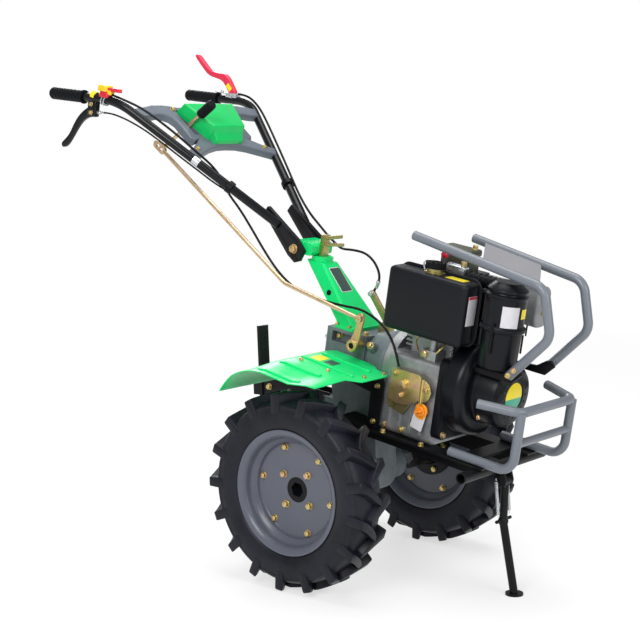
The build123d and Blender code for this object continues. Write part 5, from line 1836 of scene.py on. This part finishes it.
@dataclass
class Driveline:
    """Shift arm, bosses and small hardware on the gear case, the clutch housing and the hitch."""

    shaft: tuple[float, float] = (-28.0, 369.0)
    eye: tuple[float, float] = (-13.0, 450.0)
    web: tuple[float, float] = (-116.0, -108.0)
    pin_end: float = -130.0
    case_y: float = -72.0
    hitch_half: float = 22.0
    boss_foot: Point = (13, -62, 364)
    boss_out: Point = (0.0, -0.894, 0.447)
    boss_height: float = 28.0

    def build(self) -> None:
        """Model the driveline's dressing."""
        self.make_shift_arm()
        self.make_hitch_plates()
        height = self.boss_height
        boss = Shape.turned([(0, 0), (17, 0), (14, 12), (12.5, 26), (11.5, height), (0, height)], 28)
        boss.place(aim(self.boss_foot, self.boss_out))
        boss.settle("bell_boss", CASE_GREY, Body.CHASSIS, "cast_grey")
        boss_top = Vector(self.boss_foot) + Vector(self.boss_out) * height
        heads = [(tuple(boss_top), self.boss_out), ((-122, self.case_y + 22, 367), RIGHTWARD),
                 ((-28, -58, 391), UPWARD)]
        Bolt(14.0, 8.0).row("case_bolts", heads, Body.CHASSIS)
        plain = [((-152, -60, 357), (-1, 0, 0)), ((-88, 26, 488), RIGHTWARD)]
        Bolt(13.0, 8.0).row("plain_bolts", plain, Body.CHASSIS, ZINC_BRIGHT)
        ferrule = Shape.turned([(3, 0), (5.5, 0), (6, 1), (6, 10), (4.6, 12), (4.6, 22), (3, 22), (3, 0)], 20)
        ferrule.place(aim((-72.5, 30, 528), (-0.2, 0, -1)))
        ferrule.settle("clutch_ferrule", ZINC_BRIGHT, Body.CHASSIS, "steel")

    def make_shift_arm(self) -> None:
        """Model the shift arm: shaft, ringed boss with a dark middle, web, eye and pin."""
        (x, z), (eye_x, eye_z), (low, high) = self.shaft, self.eye, self.web
        arm = Shape.upright([(x - 17, z - 4), (x - 9, z - 17), (x + 9, z - 17), (x + 17, z - 2),
                             (eye_x + 9, eye_z - 22), (eye_x + 13, eye_z), (eye_x + 7, eye_z + 14),
                             (eye_x - 7, eye_z + 14), (eye_x - 13, eye_z), (eye_x - 9, eye_z - 26)],
                            (low + high) / 2, high - low, 1.5, True)
        shaft = Shape.cylinder(11.0, self.case_y - low + 1.0, 28).bevel(1.0, 2)
        shaft.place(aim((x, self.case_y + 2, z), RIGHTWARD))
        ring = Shape.turned([(8, 0), (16, 0), (17, 1), (17, 5), (15.5, 7), (9.5, 7), (8, 5.5), (8, 0)], 36)
        pin = Shape.cylinder(4.0, high - self.pin_end, 20).bevel(0.8, 2)
        pin.place(aim((eye_x, high, eye_z), RIGHTWARD))
        face = aim((x, low + 0.5, z), RIGHTWARD)
        arm.join([shaft, ring.place(face), pin])
        arm.settle("ringed_shift_arm", ZINC_GOLD, Body.CHASSIS, "zinc_gold", "shift_arm")
        plug = Shape.turned([(0, 0), (8.2, 0), (8.2, 3), (6, 4), (0, 4)], 24).place(face)
        plug.settle("shift_shaft_end", FRAME_BLACK, Body.CHASSIS, "black_paint")

    def make_hitch_plates(self) -> None:
        """Bolt a side plate on each side of the hitch arm."""
        outline = [(-392, 114), (-396, 122), (-396, 166), (-386, 174), (-326, 180), (-152, 186), (-152, 108)]
        plates = [Shape.upright(outline, way * (self.hitch_half + 3), 6.0, 1.2) for way in (-1, 1)]
        Shape.merge(plates).settle("hitch_side_plates", FRAME_BLACK, Body.CHASSIS, "black_paint")
        y = -(self.hitch_half + 6)
        heads = both_sides(places_facing(RIGHTWARD, [(x, y, 144) for x in (-372, -300, -190)]))
        Bolt(14.0, 7.0).row("hitch_bolts", heads, Body.CHASSIS)


@dataclass
class Column:
    """Plate, side holes, bolts and rounded clamp parts of the handlebar's column."""

    face: Point = (0.688, 0.0, 0.725)
    pivot: tuple[float, float] = (-318.0, 574.0)
    ear_y: float = 59.4

    def build(self) -> None:
        """Model the column's dressing."""
        plate = Sticker("column_plate", 44.0, 78.0, LABEL_DARK, border=LABEL_WHITE, border_width=2.5)
        plate.stick(aim((-183.0, 0.0, 509.2), self.face))
        holes = []
        for side in (1, -1):
            hole = Shape.turned([(0, -3), (8, -3), (8, 0.6), (6.5, 1.2), (6.5, 0.4), (0, 0.4)], 28)
            holes.append(hole.place(aim((-182, side * 48.1, 476), (0, side, 0.19))))
        Shape.merge(holes).settle("column_holes", BLACK_PLASTIC, Body.CHASSIS, "black_plastic")
        feet = both_sides(places_facing(UPWARD, [(-126, -66.5, 400), (-82, -66.5, 400)]))
        Bolt(9.0, 5.0, 1.0).row("column_bolts", feet, Body.CHASSIS)
        x, z = self.pivot
        places = [((x, side * self.ear_y, z), (0, side, 0)) for side in (1, -1)]
        Bolt(20.0, 8.0, 2.0).row("pivot_bolts", places, Body.HANDLEBAR)
        castings = (
            ("tilt_head", BODY_GREEN, "green_paint"),
            ("clamp_levers", ZINC_OLIVE_AND_SHADED_GOLD, "zinc_gold"),
            ("clutch_arm", ZINC_OLIVE_AND_SHADED_GOLD, "zinc_gold"),
        )
        for node, finish, slot in castings:
            piece = Shape.from_node(node).bevel(2.0, 3, 50.0)
            piece.settle(node + "_rounded", finish, Body.CHASSIS, slot, node, angle=40.0)


def main() -> None:
    """Build the studio and every sub-assembly, in order."""
    logging.basicConfig(level=logging.INFO, format="%(name)s %(message)s")
    dress_nodes()
    Studio().build()
    Cables().build()
    for side in Side:
        Wheel(side).build()
        Fender(side).build()
    Handlebar().build()
    Column().build()
    Driveline().build()
    Stand().build()
    FuelTank().build()
    AirCleaner().build()
    Engine().build()


if __name__ == "__main__":
    main()
